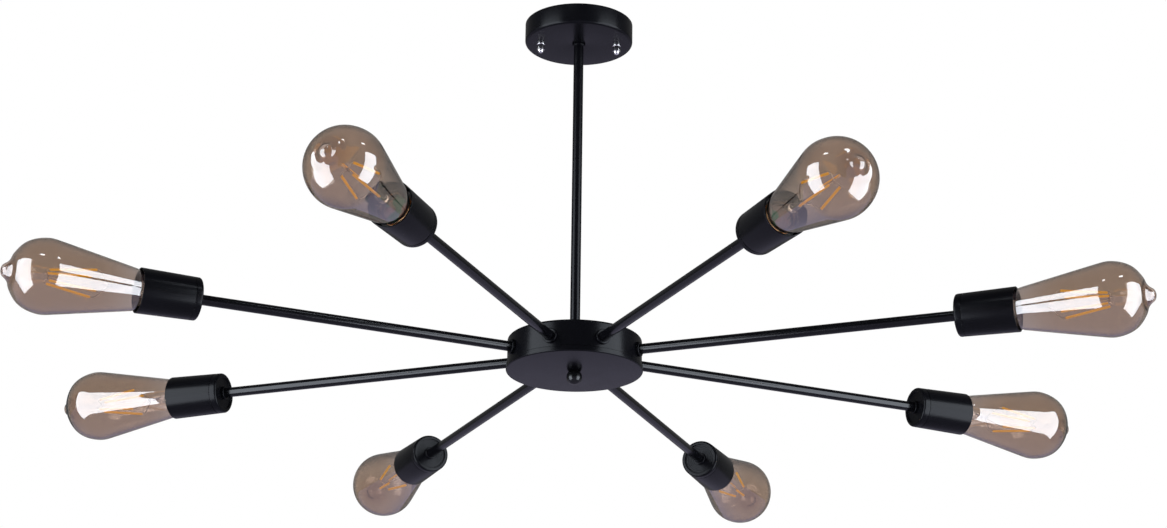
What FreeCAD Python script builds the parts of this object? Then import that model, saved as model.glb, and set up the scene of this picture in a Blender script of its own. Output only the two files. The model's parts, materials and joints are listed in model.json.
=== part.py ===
"""Rod-hung ceiling light: a canopy, a down rod and a drum hub with a ring of level arms.

Each arm ends in a socket cup with a screw-base teardrop bulb that points outwards.
Lengths are in millimetres and angles in degrees. The origin is the centre of the
canopy's rim on the ceiling, +Z is up, and the canopy's two studs lie along X.
The pieces of one lamp are modelled once, about the X axis, and copied round the hub.
"""
import FreeCAD, Part
import math
import os

Vector = FreeCAD.Vector
X_AXIS = Vector(1, 0, 0)
Y_AXIS = Vector(0, 1, 0)
Z_AXIS = Vector(0, 0, 1)
ORIGIN = Vector(0, 0, 0)

# Layout of the fixture
arm_count = 8
hexagon_sides = 6
first_arm_angle = 22.5
rod_exposed_length = 287.5
cup_rear_distance = 348.2

# Clearances between pieces
thread_clearance = 0.1
seat_gap = 0.1
slip_clearance = 0.25
overrun = 5.0

# Canopy and the plate behind it
canopy_diameter = 99.0
canopy_height = 19.2
canopy_wall = 1.2
canopy_edge_radius = 2.6
plate_thickness = 1.6
plate_bar_width = 15.0
plate_bar_inset = 6.3
box_bar_inset = 4.3
plate_disc_diameter = 36.0
plate_wire_hole_diameter = 16.0
box_screw_end_margin = 9.075
box_slot_width = 5.0
box_slot_length = 14.0
ground_screw_diameter = 3.5
ground_screw_head_diameter = 6.6
ground_screw_head_height = 2.2
ground_screw_angle = 45.0
ground_screw_slot_width = 0.8
ground_screw_slot_depth = 0.9

# Canopy studs with their lock nuts and cap nuts
stud_end_margin = 7.0
stud_diameter = 4.0
stud_grip_length = 6.6
lock_nut_across_flats = 7.0
lock_nut_height = 3.2
cap_nut_flange_diameter = 7.6
cap_nut_flange_height = 1.2
cap_nut_across_flats = 6.2
cap_nut_hex_height = 5.4
cap_nut_dome_radius = 2.8

# Down rod and what clamps it at both ends
rod_diameter = 9.0
rod_bore_diameter = 6.6
rod_end_stand = 1.0
rod_collar_diameter = 12.0
rod_collar_height = 2.2
rod_collar_edge_radius = 0.5
rod_nut_across_flats = 13.0
rod_nut_height = 3.2
rod_nut_flange_diameter = 19.0
rod_nut_flange_height = 1.2

# Hub drum, its cover and the stirrup that holds the cover
hub_diameter = 119.8
hub_height = 29.6
hub_wall = 1.2
hub_top_edge_radius = 2.2
cover_skirt_wall = 1.0
cover_skirt_height = 5.0
cover_thickness = 1.2
cover_edge_radius = 1.4
stirrup_thickness = 1.5
stirrup_width = 8.0
stirrup_span = 27.5
stirrup_lift = 2.4
cover_stud_diameter = 5.0
cover_stud_grip_length = 7.6
finial_radius = 7.0
finial_centre_drop = 5.0
finial_bore_spare = 0.8

# Arms with their rings and nuts
arm_diameter = 9.0
arm_bore_diameter = 6.6
arm_end_stand = 1.6
hub_ring_diameter = 13.4
hub_ring_length = 2.6
arm_nut_across_flats = 12.0
arm_nut_length = 3.4
socket_ring_diameter = 12.0
socket_ring_length = 3.0
socket_ring_edge_radius = 0.8
arm_grip_length = 7.0

# Socket cup
cup_length = 52.0
cup_taper = 2.1
cup_mouth_diameter = 38.9
cup_wall = 1.1
cup_rear_edge_radius = 3.0
cup_recess_margin = 3.7
cup_recess_depth = 1.2
cup_groove_distance = 6.0
cup_groove_width = 0.8
cup_groove_depth = 0.4

# Lamp holder inside the cup
holder_side_gap = 0.8
holder_wall = 2.45
holder_front_depth = 11.0
holder_floor_thickness = 2.6
holder_contact_space = 3.6
shell_length = 21.0
shell_thread_length = 14.5
shell_wall = 1.3
contact_strip_width = 6.0
contact_strip_thickness = 0.6
contact_strip_length = 13.0

# Screw thread shared by the bulb cap and the screw shell
thread_pitch = 3.629
thread_amplitude = 0.42
thread_play = 0.25

# Bulb cap, measured back from the cup's mouth
cap_rim_depth = 9.0
cap_rim_stand = 0.35
cap_rim_length = 2.0
cap_thread_length = 18.0
cap_wall = 1.2
cap_end_wall = 1.0
cap_end_lip = 5.55
insulator_length = 4.5
insulator_inset = 2.55
insulator_taper = 3.8
button_inset = 0.6
button_length = 1.8
button_edge_radius = 0.8

# Bulb glass, measured out from the cup's mouth
glass_wall = 0.9
glass_neck_gap = 0.15
glass_neck_depth = 17.0
glass_flare_depth = 9.5
glass_mid_flare_depth = 4.5
glass_mid_flare_spread = 3.6
glass_cone_start = 4.0
glass_mouth_inset = 1.25
glass_cone_end = 66.0
glass_cone_end_diameter = 60.2
glass_widest_distance = 81.0
glass_diameter = 64.0
bulb_tip_distance = 116.4
dome_depth = 29.5
dome_shares = [(0.55, 0.835), (0.86, 0.51)]
nipple_depth = 7.2
nipple_base_diameter = 20.0
nipple_shares = [(0.28, 0.76), (0.84, 0.43)]

# Stem and the four light sticks inside the bulb
stick_count = 4
stick_diameter = 2.0
stick_near = 38.0
stick_near_radius = 13.0
stick_far = 77.0
stick_far_radius = 6.5
lead_diameter = 0.7
lead_elbow_reach = 2.4
stem_flare_depth = 8.5
stem_neck = 3.0
stem_diameter = 8.0
stem_top = 26.0
stem_top_edge_radius = 1.5
stem_play = 0.2
board_thickness = 1.6
stem_post_diameter = 1.8
stem_post_top = 78.0

# Wires
rod_wire_diameter = 1.8
arm_wire_diameter = 1.4
rod_wire_offset = 1.7
arm_wire_offset = 1.6
harness_ring_radius = 30.0
canopy_wire_drop = 7.6
rod_wire_bend_radius = 3.0
lamp_wire_bend_radius = 1.6
wire_nut_length = 15.0
wire_nut_mouth_diameter = 9.0
wire_nut_tip_diameter = 6.4
wire_nut_grip = 8.0
splice_diameter = 2.6
splice_length = 6.0

# Levels and distances that follow from the sizes
canopy_radius = canopy_diameter / 2
plate_bar_length = canopy_diameter - 2 * (canopy_wall + plate_bar_inset)
box_bar_length = canopy_diameter - 2 * (canopy_wall + box_bar_inset)
stud_spacing = plate_bar_length - 2 * stud_end_margin
box_screw_spacing = box_bar_length - 2 * box_screw_end_margin
canopy_bottom = -canopy_height
canopy_floor = canopy_bottom + canopy_wall
hub_radius = hub_diameter / 2
hub_top = canopy_bottom - rod_exposed_length
hub_bottom = hub_top - hub_height
hub_ceiling = hub_top - hub_wall
cover_top = hub_bottom + cover_thickness
arm_level = hub_bottom + hub_height / 2
hub_inner_radius = hub_radius - hub_wall
cup_mouth_distance = cup_rear_distance + cup_length
cup_disc_outside = cup_rear_distance + cup_recess_depth
cup_disc_inside = cup_disc_outside + cup_wall
arm_outer_end = cup_disc_inside + arm_grip_length
arm_nut_half_corner = arm_nut_across_flats / 2 / math.cos(math.pi / hexagon_sides)
arm_nut_seat = math.sqrt(hub_inner_radius**2 - arm_nut_half_corner**2) - seat_gap
arm_inner_end = arm_nut_seat - arm_nut_length - arm_end_stand
rod_top = canopy_floor + rod_nut_flange_height + rod_nut_height + rod_end_stand
stirrup_foot_top = cover_top + stirrup_lift + stirrup_thickness
rod_foot = hub_ceiling - stirrup_thickness - rod_nut_flange_height - rod_nut_height - rod_end_stand
button_face = cup_mouth_distance - (
    cap_rim_depth + cap_rim_length + cap_thread_length + seat_gap + insulator_length + button_length
)
holder_rear = cup_disc_inside + seat_gap
holder_floor = button_face - seat_gap - holder_contact_space
shell_front = cup_mouth_distance - holder_front_depth - slip_clearance
shell_rear = shell_front - shell_length
cup_rear_diameter = cup_mouth_diameter - cup_taper
cup_recess_diameter = cup_rear_diameter - 2 * cup_recess_margin
holder_diameter = cup_rear_diameter - 2 * (cup_wall + holder_side_gap)
shell_outer_diameter = holder_diameter - 2 * holder_wall
thread_mean_radius = shell_outer_diameter / 2 - shell_wall
contact_bore_radius = thread_mean_radius + thread_play
cap_rim_diameter = 2 * (thread_mean_radius + cap_rim_stand)
cap_bore_diameter = 2 * (thread_mean_radius - cap_wall)
cap_end_hole_diameter = cap_bore_diameter - 2 * cap_end_lip
insulator_top_diameter = cap_bore_diameter - 2 * insulator_inset
insulator_foot_diameter = insulator_top_diameter - 2 * insulator_taper
button_diameter = insulator_foot_diameter - 2 * button_inset
glass_neck_diameter = cap_bore_diameter - 2 * glass_neck_gap
glass_mid_flare_diameter = glass_neck_diameter + 2 * glass_mid_flare_spread
glass_cone_start_diameter = cup_mouth_diameter - 2 * glass_mouth_inset
wire_nut_distance = (stud_spacing + stud_diameter) / 4 - wire_nut_length / 2


def corner_arc(before, corner, after, radius):
    """Give the two tangent points and the middle point of the arc that rounds a corner."""
    to_before = (before - corner).normalize()
    to_after = (after - corner).normalize()
    half_angle = to_before.getAngle(to_after) / 2
    reach = radius / math.tan(half_angle)
    limit = min((before - corner).Length, (after - corner).Length) / 2
    reach = min(reach, limit)
    radius = reach * math.tan(half_angle)
    bisector = (to_before + to_after).normalize()
    centre = corner + bisector * (radius / math.sin(half_angle))
    return corner + to_before * reach, centre - bisector * radius, corner + to_after * reach


def rounded_edges(points, radii, closed):
    """Join points by straight edges, with a tangent arc at each point that has a radius."""
    count = len(points)
    edges = []
    start = points[0]
    for index in range(count if closed else count - 1):
        end_index = (index + 1) % count
        end = points[end_index]
        is_last = not closed and end_index == count - 1
        if radii[end_index] and not is_last:
            into, middle, out = corner_arc(points[index], end, points[(end_index + 1) % count],
                                           radii[end_index])
            edges.append(Part.makeLine(start, into))
            edges.append(Part.Arc(into, middle, out).toShape())
            start = out
        else:
            edges.append(Part.makeLine(start, end))
            start = end
    return edges


def turned(points, corners, axis):
    """Turn a closed outline about an axis through the origin; its first corner stays sharp."""
    edges = rounded_edges(points, corners, closed=True)
    return Part.Face(Part.Wire(edges)).revolve(ORIGIN, axis, 360)


def turned_z(outline):
    """Turn a closed outline of (radius, height, corner radius) about the Z axis."""
    points = [Vector(radius, 0, height) for radius, height, _ in outline]
    return turned(points, [corner for _, _, corner in outline], Z_AXIS)


def turned_x(outline):
    """Turn a closed outline of (distance, radius, corner radius) about the X axis."""
    points = [Vector(distance, 0, radius) for distance, radius, _ in outline]
    return turned(points, [corner for _, _, corner in outline], X_AXIS)


def rod_x(start, end, radius):
    """Make a plain cylinder along X between two distances."""
    return Part.makeCylinder(radius, end - start, Vector(start, 0, 0), X_AXIS)


def rod_z(bottom, top, radius, x=0.0, y=0.0):
    """Make a plain upright cylinder between two levels."""
    return Part.makeCylinder(radius, top - bottom, Vector(x, y, bottom), Z_AXIS)


def tube_x(start, end, outer_radius, inner_radius):
    """Make a plain tube along X."""
    return rod_x(start, end, outer_radius).cut(
        rod_x(start - overrun, end + overrun, inner_radius))


def tube_z(bottom, top, outer_radius, inner_radius):
    """Make a plain upright tube."""
    return rod_z(bottom, top, outer_radius).cut(
        rod_z(bottom - overrun, top + overrun, inner_radius))


def hex_prism(across_flats, height, base, direction):
    """Make a hexagonal prism on a base point along a direction."""
    corner = across_flats / 2 / math.cos(math.pi / hexagon_sides)
    points = []
    for index in range(hexagon_sides + 1):
        angle = math.radians(index * 360 / hexagon_sides)
        points.append(Vector(corner * math.cos(angle), corner * math.sin(angle), 0))
    prism = Part.Face(Part.makePolygon(points)).extrude(Z_AXIS * height)
    prism.Placement = FreeCAD.Placement(base, FreeCAD.Rotation(Z_AXIS, direction))
    return prism


def wire_along(points, diameter, bend_radius):
    """Sweep a round wire along straight runs joined by tangent arcs."""
    radii = [bend_radius] * len(points)
    path = Part.Wire(rounded_edges(points, radii, closed=False))
    section = Part.Wire(Part.makeCircle(diameter / 2, points[0], points[1] - points[0]))
    return path.makePipeShell([section], True, False)


def threaded_rod(start, end, mean_radius):
    """Make a rod along X with the round-crested thread: a circle carried along a fine helix."""
    turns_before = start / thread_pitch
    helix = Part.makeHelix(thread_pitch, end - start, thread_amplitude)
    sweep = Part.BRepOffsetAPI.MakePipeShell(Part.Wire(helix.Edges))
    sweep.setTrihedronMode(ORIGIN, Z_AXIS)
    sweep.add(Part.Wire(Part.makeCircle(mean_radius, Vector(thread_amplitude, 0, 0), Z_AXIS)))
    sweep.build()
    sweep.makeSolid()
    rod = sweep.shape()
    rod.rotate(ORIGIN, Z_AXIS, 360 * turns_before)
    rod.rotate(ORIGIN, Y_AXIS, 90)
    rod.translate(X_AXIS * start)
    return rod


def around_hub(shape, index):
    """Copy a lamp piece to its arm."""
    copy = shape.copy()
    copy.rotate(ORIGIN, Z_AXIS, first_arm_angle + index * 360 / arm_count)
    copy.translate(Z_AXIS * arm_level)
    return copy


def group(shapes):
    """Hold several separate solids in one node."""
    return Part.makeCompound([solid for shape in shapes for solid in shape.Solids])


def mounting_plate():
    """Stamped cross plate: one bar for the canopy studs and one slotted bar for the box."""
    stud_bar = Part.makeBox(plate_bar_length, plate_bar_width, plate_thickness,
                            Vector(-plate_bar_length / 2, -plate_bar_width / 2, -plate_thickness))
    box_bar = Part.makeBox(plate_bar_width, box_bar_length, plate_thickness,
                           Vector(-plate_bar_width / 2, -box_bar_length / 2, -plate_thickness))
    plate = stud_bar.fuse([box_bar, rod_z(-plate_thickness, 0, plate_disc_diameter / 2)])
    cuts = [rod_z(-plate_thickness - overrun, overrun, plate_wire_hole_diameter / 2)]
    for side in (-1, 1):
        cuts.append(rod_z(-plate_thickness - overrun, overrun, stud_diameter / 2,
                          x=side * stud_spacing / 2))
        centre = side * box_screw_spacing / 2
        straight = box_slot_length - box_slot_width
        cuts.append(Part.makeBox(box_slot_width, straight, plate_thickness + 2 * overrun,
                                 Vector(-box_slot_width / 2, centre - straight / 2,
                                        -plate_thickness - overrun)))
        for end in (-1, 1):
            cuts.append(rod_z(-plate_thickness - overrun, overrun, box_slot_width / 2,
                              y=centre + end * straight / 2))
    x, y = ground_screw_place()
    cuts.append(rod_z(-plate_thickness - overrun, overrun, ground_screw_diameter / 2, x=x, y=y))
    return plate.cut(cuts).removeSplitter()


def ground_screw_place():
    """Give the place of the ground screw, midway across the plate's disc."""
    distance = (plate_disc_diameter + plate_wire_hole_diameter) / 4
    angle = math.radians(ground_screw_angle)
    return distance * math.cos(angle), distance * math.sin(angle)


def ground_screw():
    """Slotted screw in the plate, head down, for the supply's ground wire."""
    x, y = ground_screw_place()
    head_bottom = -plate_thickness - ground_screw_head_height
    shank = rod_z(-plate_thickness, 0, ground_screw_diameter / 2, x=x, y=y)
    head = rod_z(head_bottom, -plate_thickness, ground_screw_head_diameter / 2, x=x, y=y)
    slot = Part.makeBox(ground_screw_slot_width, 2 * ground_screw_head_diameter, ground_screw_slot_depth,
                        Vector(x - ground_screw_slot_width / 2, y - ground_screw_head_diameter,
                               head_bottom))
    return shank.fuse(head).cut(slot)


def canopy():
    """Spun cup that is open to the ceiling, with holes for the rod and the two studs."""
    outer = canopy_radius
    inner = canopy_radius - canopy_wall
    hole = rod_diameter / 2 + slip_clearance
    shell = turned_z([
        (hole, canopy_floor, 0),
        (hole, canopy_bottom, 0),
        (outer, canopy_bottom, canopy_edge_radius),
        (outer, 0, 0),
        (inner, 0, 0),
        (inner, canopy_floor, max(canopy_edge_radius - canopy_wall, 0)),
    ])
    holes = [rod_z(canopy_bottom - overrun, canopy_floor + overrun, stud_diameter / 2 + slip_clearance,
                   x=side * stud_spacing / 2) for side in (-1, 1)]
    return shell.cut(holes)


def canopy_studs():
    """Two studs screwed through the plate, each with its hexagonal lock nut."""
    pieces = []
    for side in (-1, 1):
        x = side * stud_spacing / 2
        pieces.append(rod_z(canopy_bottom - stud_grip_length, 0, stud_diameter / 2, x=x))
        nut = hex_prism(lock_nut_across_flats, lock_nut_height,
                        Vector(x, 0, -plate_thickness - lock_nut_height), Z_AXIS)
        bore = rod_z(-plate_thickness - lock_nut_height - overrun, 0,
                     stud_diameter / 2 + thread_clearance, x=x)
        pieces.append(nut.cut(bore))
    return group(pieces)


def canopy_cap_nuts():
    """Two domed nuts with a flange, screwed up against the canopy from below."""
    pieces = []
    for side in (-1, 1):
        x = side * stud_spacing / 2
        flange_bottom = canopy_bottom - cap_nut_flange_height
        hex_bottom = flange_bottom - cap_nut_hex_height
        flange = rod_z(flange_bottom, canopy_bottom, cap_nut_flange_diameter / 2, x=x)
        body = hex_prism(cap_nut_across_flats, cap_nut_hex_height, Vector(x, 0, hex_bottom), Z_AXIS)
        dome = Part.makeSphere(cap_nut_dome_radius, Vector(x, 0, hex_bottom))
        bore = rod_z(canopy_bottom - stud_grip_length - seat_gap, canopy_bottom + overrun,
                     stud_diameter / 2 + thread_clearance, x=x)
        pieces.append(flange.fuse([body, dome]).cut(bore))
    return group(pieces)


def down_rod():
    """Straight tube from inside the canopy to inside the hub."""
    return tube_z(rod_foot, rod_top, rod_diameter / 2, rod_bore_diameter / 2)


def rod_collars():
    """Round collars on the rod: one under the canopy and one on the hub."""
    bore = rod_diameter / 2 + thread_clearance
    pieces = []
    for bottom, rounded_top in ((canopy_bottom - rod_collar_height, False), (hub_top, True)):
        top = bottom + rod_collar_height
        pieces.append(turned_z([
            (bore, bottom, 0),
            (rod_collar_diameter / 2, bottom, 0 if rounded_top else rod_collar_edge_radius),
            (rod_collar_diameter / 2, top, rod_collar_edge_radius if rounded_top else 0),
            (bore, top, 0),
        ]))
    return group(pieces)


def rod_nuts():
    """Flanged nuts that clamp the rod: one in the canopy and one under the stirrup."""
    bore_radius = rod_diameter / 2 + thread_clearance
    pieces = []
    for seat, up in ((canopy_floor, 1), (hub_ceiling - stirrup_thickness, -1)):
        direction = Z_AXIS * up
        flange = Part.makeCylinder(rod_nut_flange_diameter / 2, rod_nut_flange_height,
                                   Vector(0, 0, seat), direction)
        body = hex_prism(rod_nut_across_flats, rod_nut_flange_height + rod_nut_height,
                         Vector(0, 0, seat), direction)
        bore = Part.makeCylinder(bore_radius, rod_nut_flange_height + rod_nut_height + 2 * overrun,
                                 Vector(0, 0, seat - up * overrun), direction)
        pieces.append(flange.fuse(body).cut(bore))
    return group(pieces)


def hub_housing():
    """Drum that is open below, with a hole for the rod and one for each arm."""
    hole = rod_diameter / 2 + slip_clearance
    drum = turned_z([
        (hole, hub_ceiling, 0),
        (hub_inner_radius, hub_ceiling, max(hub_top_edge_radius - hub_wall, 0)),
        (hub_inner_radius, cover_top + seat_gap, 0),
        (hub_radius, cover_top + seat_gap, 0),
        (hub_radius, hub_top, hub_top_edge_radius),
        (hole, hub_top, 0),
    ])
    holes = []
    for index in range(arm_count):
        drill = rod_x(hub_inner_radius - overrun, hub_radius + overrun, arm_diameter / 2 + slip_clearance)
        holes.append(around_hub(drill, index))
    return drum.cut(holes)


def hub_cover():
    """Flat lid with a short skirt round the drum and a hole for the finial's stud."""
    skirt_inside = hub_radius + thread_clearance
    skirt_outside = skirt_inside + cover_skirt_wall
    skirt_top = hub_bottom + cover_skirt_height
    hole = cover_stud_diameter / 2 + slip_clearance
    return turned_z([
        (hole, hub_bottom, 0),
        (skirt_outside, hub_bottom, cover_edge_radius),
        (skirt_outside, skirt_top, cover_skirt_wall / 3),
        (skirt_inside, skirt_top, 0),
        (skirt_inside, cover_top, 0),
        (hole, cover_top, 0),
    ])


def hub_stirrup():
    """Bent strap clamped on the rod, with the stud that carries the cover and finial."""
    half_span = stirrup_span / 2
    top = hub_ceiling
    foot_bottom = stirrup_foot_top - stirrup_thickness
    outer = Part.makeBox(stirrup_width, stirrup_span, top - foot_bottom,
                         Vector(-stirrup_width / 2, -half_span, foot_bottom))
    inner = Part.makeBox(stirrup_width + 2 * overrun, stirrup_span - 2 * stirrup_thickness,
                         top - foot_bottom - 2 * stirrup_thickness,
                         Vector(-stirrup_width / 2 - overrun, stirrup_thickness - half_span,
                                stirrup_foot_top))
    washer = rod_z(top - stirrup_thickness, top, rod_nut_flange_diameter / 2)
    stud = rod_z(hub_bottom - cover_stud_grip_length, foot_bottom + stirrup_thickness / 2,
                 cover_stud_diameter / 2)
    rod_hole = rod_z(top - stirrup_thickness - overrun, top + overrun,
                     rod_diameter / 2 + slip_clearance)
    return outer.cut(inner).fuse([washer, stud]).cut(rod_hole)


def finial():
    """Ball with a flat seat against the cover and a blind hole for the stud."""
    centre = hub_bottom - finial_centre_drop
    ball = Part.makeSphere(finial_radius, Vector(0, 0, centre))
    seat = Part.makeBox(4 * finial_radius, 4 * finial_radius, 2 * finial_radius,
                        Vector(-2 * finial_radius, -2 * finial_radius, hub_bottom))
    depth = cover_stud_grip_length + finial_bore_spare
    bore = rod_z(hub_bottom - depth, hub_bottom + overrun, cover_stud_diameter / 2 + thread_clearance)
    return ball.cut([seat, bore])


def arm_tube():
    """Level tube from inside the hub to inside the lamp holder."""
    return tube_x(arm_inner_end, arm_outer_end, arm_diameter / 2, arm_bore_diameter / 2)


def hub_ring():
    """Ring on the arm whose inner face follows the drum."""
    ring = turned_x([
        (hub_radius - overrun, arm_diameter / 2 + thread_clearance, 0),
        (hub_radius + hub_ring_length, arm_diameter / 2 + thread_clearance, 0),
        (hub_radius + hub_ring_length, hub_ring_diameter / 2, hub_ring_length / 4),
        (hub_radius - overrun, hub_ring_diameter / 2, 0),
    ])
    drum = rod_z(-hub_height, hub_height, hub_radius + seat_gap)
    return ring.cut(drum)


def arm_nut():
    """Hexagonal nut on the arm inside the drum."""
    nut = hex_prism(arm_nut_across_flats, arm_nut_length, Vector(arm_nut_seat - arm_nut_length, 0, 0), X_AXIS)
    return nut.cut(rod_x(arm_nut_seat - arm_nut_length - overrun, arm_nut_seat + overrun,
                         arm_diameter / 2 + thread_clearance))


def socket_ring():
    """Round nut on the arm in the recess of the cup's rear face."""
    bore = arm_diameter / 2 + thread_clearance
    rear = cup_disc_outside - socket_ring_length
    return turned_x([
        (rear, bore, 0),
        (cup_disc_outside, bore, 0),
        (cup_disc_outside, socket_ring_diameter / 2, 0),
        (rear, socket_ring_diameter / 2, socket_ring_edge_radius),
    ])


def cup_radius_at(distance):
    """Give the cup's outer radius at a distance from the hub's axis."""
    share = (distance - cup_rear_distance) / cup_length
    return (cup_rear_diameter + share * (cup_mouth_diameter - cup_rear_diameter)) / 2


def socket_cup():
    """Slightly tapered cup with a recessed rear disc, a groove and an open mouth."""
    hole = arm_diameter / 2 + slip_clearance
    recess = cup_recess_diameter / 2
    groove_start = cup_rear_distance + cup_groove_distance
    groove_end = groove_start + cup_groove_width
    return turned_x([
        (cup_disc_outside, hole, 0),
        (cup_disc_outside, recess, 0),
        (cup_rear_distance, recess, cup_recess_depth / 4),
        (cup_rear_distance, cup_rear_diameter / 2, cup_rear_edge_radius),
        (groove_start, cup_radius_at(groove_start), 0),
        (groove_start, cup_radius_at(groove_start) - cup_groove_depth, 0),
        (groove_end, cup_radius_at(groove_end) - cup_groove_depth, 0),
        (groove_end, cup_radius_at(groove_end), 0),
        (cup_mouth_distance, cup_mouth_diameter / 2, 0),
        (cup_mouth_distance, cup_mouth_diameter / 2 - cup_wall, 0),
        (cup_disc_inside, cup_rear_diameter / 2 - cup_wall, cup_wall),
        (cup_disc_inside, hole, 0),
    ])


def lamp_holder():
    """Insulating body on the arm's end: a bore for the shell, a contact space and a thread."""
    front = cup_mouth_distance - holder_front_depth
    outer = holder_diameter / 2
    shell_bore = shell_outer_diameter / 2 + thread_clearance
    thread_bore = arm_diameter / 2 + thread_clearance
    thread_end = holder_floor - holder_floor_thickness
    body = turned_x([
        (holder_rear, thread_bore, 0),
        (holder_rear, outer, cup_wall),
        (front, outer, 0),
        (front, shell_bore, 0),
        (shell_rear - seat_gap, shell_bore, 0),
        (shell_rear - seat_gap, contact_bore_radius, 0),
        (holder_floor, contact_bore_radius, 0),
        (holder_floor, 0, 0),
        (thread_end, 0, 0),
        (thread_end, thread_bore, 0),
    ])
    holes = []
    for side in (-1, 1):
        hole = rod_x(thread_end - overrun, holder_floor + overrun, arm_wire_diameter / 2 + slip_clearance)
        hole.translate(Z_AXIS * side * arm_wire_offset)
        holes.append(hole)
    return body.cut(holes)


def screw_shell():
    """Brass shell with a plain mouth and the round thread inside its rear part."""
    thread_end = shell_rear + shell_thread_length
    blank = rod_x(shell_rear, shell_front, shell_outer_diameter / 2)
    cavity = threaded_rod(shell_rear - thread_pitch / 2, thread_end + thread_pitch / 2,
                          thread_mean_radius + thread_play)
    mouth_radius = thread_mean_radius + thread_amplitude + thread_play + slip_clearance
    mouth = rod_x(thread_end, shell_front + overrun, mouth_radius)
    return blank.cut([cavity, mouth])


def socket_contact():
    """Bent strip on the holder's floor that reaches the bulb's button."""
    half = contact_strip_length / 2
    foot = holder_floor + contact_strip_thickness
    tip = button_face - seat_gap
    rise = tip - contact_strip_thickness
    points = [
        Vector(holder_floor, 0, half),
        Vector(holder_floor, 0, arm_wire_offset),
        Vector(rise, 0, -contact_strip_width / 2),
        Vector(rise, 0, -half),
        Vector(tip, 0, -half),
        Vector(tip, 0, -contact_strip_width / 2),
        Vector(foot, 0, arm_wire_offset + contact_strip_thickness),
        Vector(foot, 0, half),
    ]
    strip = Part.Face(Part.makePolygon(points + points[:1])).extrude(Y_AXIS * contact_strip_width)
    strip.translate(Y_AXIS * -contact_strip_width / 2)
    return strip


def bulb_cap():
    """Threaded brass cap with a plain rim and a holed end wall."""
    rim_front = cup_mouth_distance - cap_rim_depth
    rim_rear = rim_front - cap_rim_length
    end = rim_rear - cap_thread_length
    thread = threaded_rod(end, rim_rear + thread_pitch / 4, thread_mean_radius)
    rim = rod_x(rim_rear, rim_front, cap_rim_diameter / 2)
    bore = rod_x(end + cap_end_wall, rim_front + overrun, cap_bore_diameter / 2)
    end_hole = rod_x(end - overrun, rim_front, cap_end_hole_diameter / 2)
    return thread.fuse(rim).cut([bore, end_hole])


def bulb_contact():
    """Insulating cone and centre button at the foot of the bulb."""
    top = cup_mouth_distance - cap_rim_depth - cap_rim_length - cap_thread_length - seat_gap
    foot = top - insulator_length
    insulator = turned_x([
        (top, 0, 0),
        (top, insulator_top_diameter / 2, button_edge_radius),
        (foot, insulator_foot_diameter / 2, 0),
        (foot, 0, 0),
    ])
    button = turned_x([
        (foot, 0, 0),
        (foot, button_diameter / 2, 0),
        (button_face, button_diameter / 2, button_edge_radius),
        (button_face, 0, 0),
    ])
    return group([insulator, button])


def glass_outline(wall):
    """Give the edges of the bulb's outline, drawn in from the outside by a wall."""
    mouth = cup_mouth_distance
    cone_slope = Vector(glass_cone_end - glass_cone_start, 0,
                        (glass_cone_end_diameter - glass_cone_start_diameter) / 2)
    neck = Vector(mouth - glass_neck_depth, 0, glass_neck_diameter / 2 - wall)
    flare = Vector(mouth - glass_flare_depth, 0, glass_neck_diameter / 2 - wall)
    mid_flare = Vector(mouth - glass_mid_flare_depth, 0, glass_mid_flare_diameter / 2 - wall)
    cone_start = Vector(mouth + glass_cone_start, 0, glass_cone_start_diameter / 2 - wall)
    cone_end = Vector(mouth + glass_cone_end, 0, glass_cone_end_diameter / 2 - wall)
    dome = [cone_end, Vector(mouth + glass_widest_distance, 0, glass_diameter / 2 - wall)]
    for along_share, radius_share in dome_shares:
        dome.append(Vector(mouth + glass_widest_distance + along_share * (dome_depth - wall), 0,
                           radius_share * (glass_diameter / 2 - wall)))
    nipple_start = bulb_tip_distance - nipple_depth
    for along_share, radius_share in [(0, 1)] + nipple_shares:
        dome.append(Vector(mouth + nipple_start + along_share * nipple_depth - wall, 0,
                           radius_share * nipple_base_diameter / 2 - wall * (1 - along_share)))
    tip = Vector(mouth + bulb_tip_distance - wall, 0, 0)
    flare_curve = Part.BSplineCurve()
    flare_curve.interpolate(Points=[flare, mid_flare, cone_start], InitialTangent=X_AXIS * cone_slope.x,
                            FinalTangent=cone_slope)
    dome_curve = Part.BSplineCurve()
    dome_curve.interpolate(Points=dome + [tip], InitialTangent=cone_slope,
                           FinalTangent=Z_AXIS * -cone_slope.x)
    return [
        Part.makeLine(neck, flare),
        flare_curve.toShape(),
        Part.makeLine(cone_start, cone_end),
        dome_curve.toShape(),
    ], neck, tip


def glass_body(wall):
    """Turn the bulb's outline into a full body."""
    edges, neck, tip = glass_outline(wall)
    foot = Vector(neck.x, 0, 0)
    edges = edges + [Part.makeLine(tip, foot), Part.makeLine(foot, neck)]
    return Part.Face(Part.Wire(edges)).revolve(ORIGIN, X_AXIS, 360)


def bulb_glass():
    """Thin teardrop envelope with a blown tip, open at its neck."""
    neck = cup_mouth_distance - glass_neck_depth
    opening = rod_x(neck - overrun, neck + overrun, glass_neck_diameter / 2 - glass_wall)
    return glass_body(0).cut([glass_body(glass_wall), opening])


def stick_ends(index):
    """Give the near and far ends of a light stick."""
    angle = math.radians((index + 0.5) * 360 / stick_count)
    across = Vector(0, math.cos(angle), math.sin(angle))
    near = Vector(cup_mouth_distance + stick_near, 0, 0) + across * stick_near_radius
    far = Vector(cup_mouth_distance + stick_far, 0, 0) + across * stick_far_radius
    return near, far


def cylinder_between(start, end, radius):
    """Make a cylinder between two points."""
    return Part.makeCylinder(radius, (end - start).Length, start, end - start)


def bent_lead(anchor, elbow, end):
    """Make a lead of two straight runs with a ball at the bend."""
    radius = lead_diameter / 2
    return [
        cylinder_between(anchor, elbow, radius),
        Part.makeSphere(radius, elbow),
        cylinder_between(elbow, end, radius),
    ]


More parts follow.
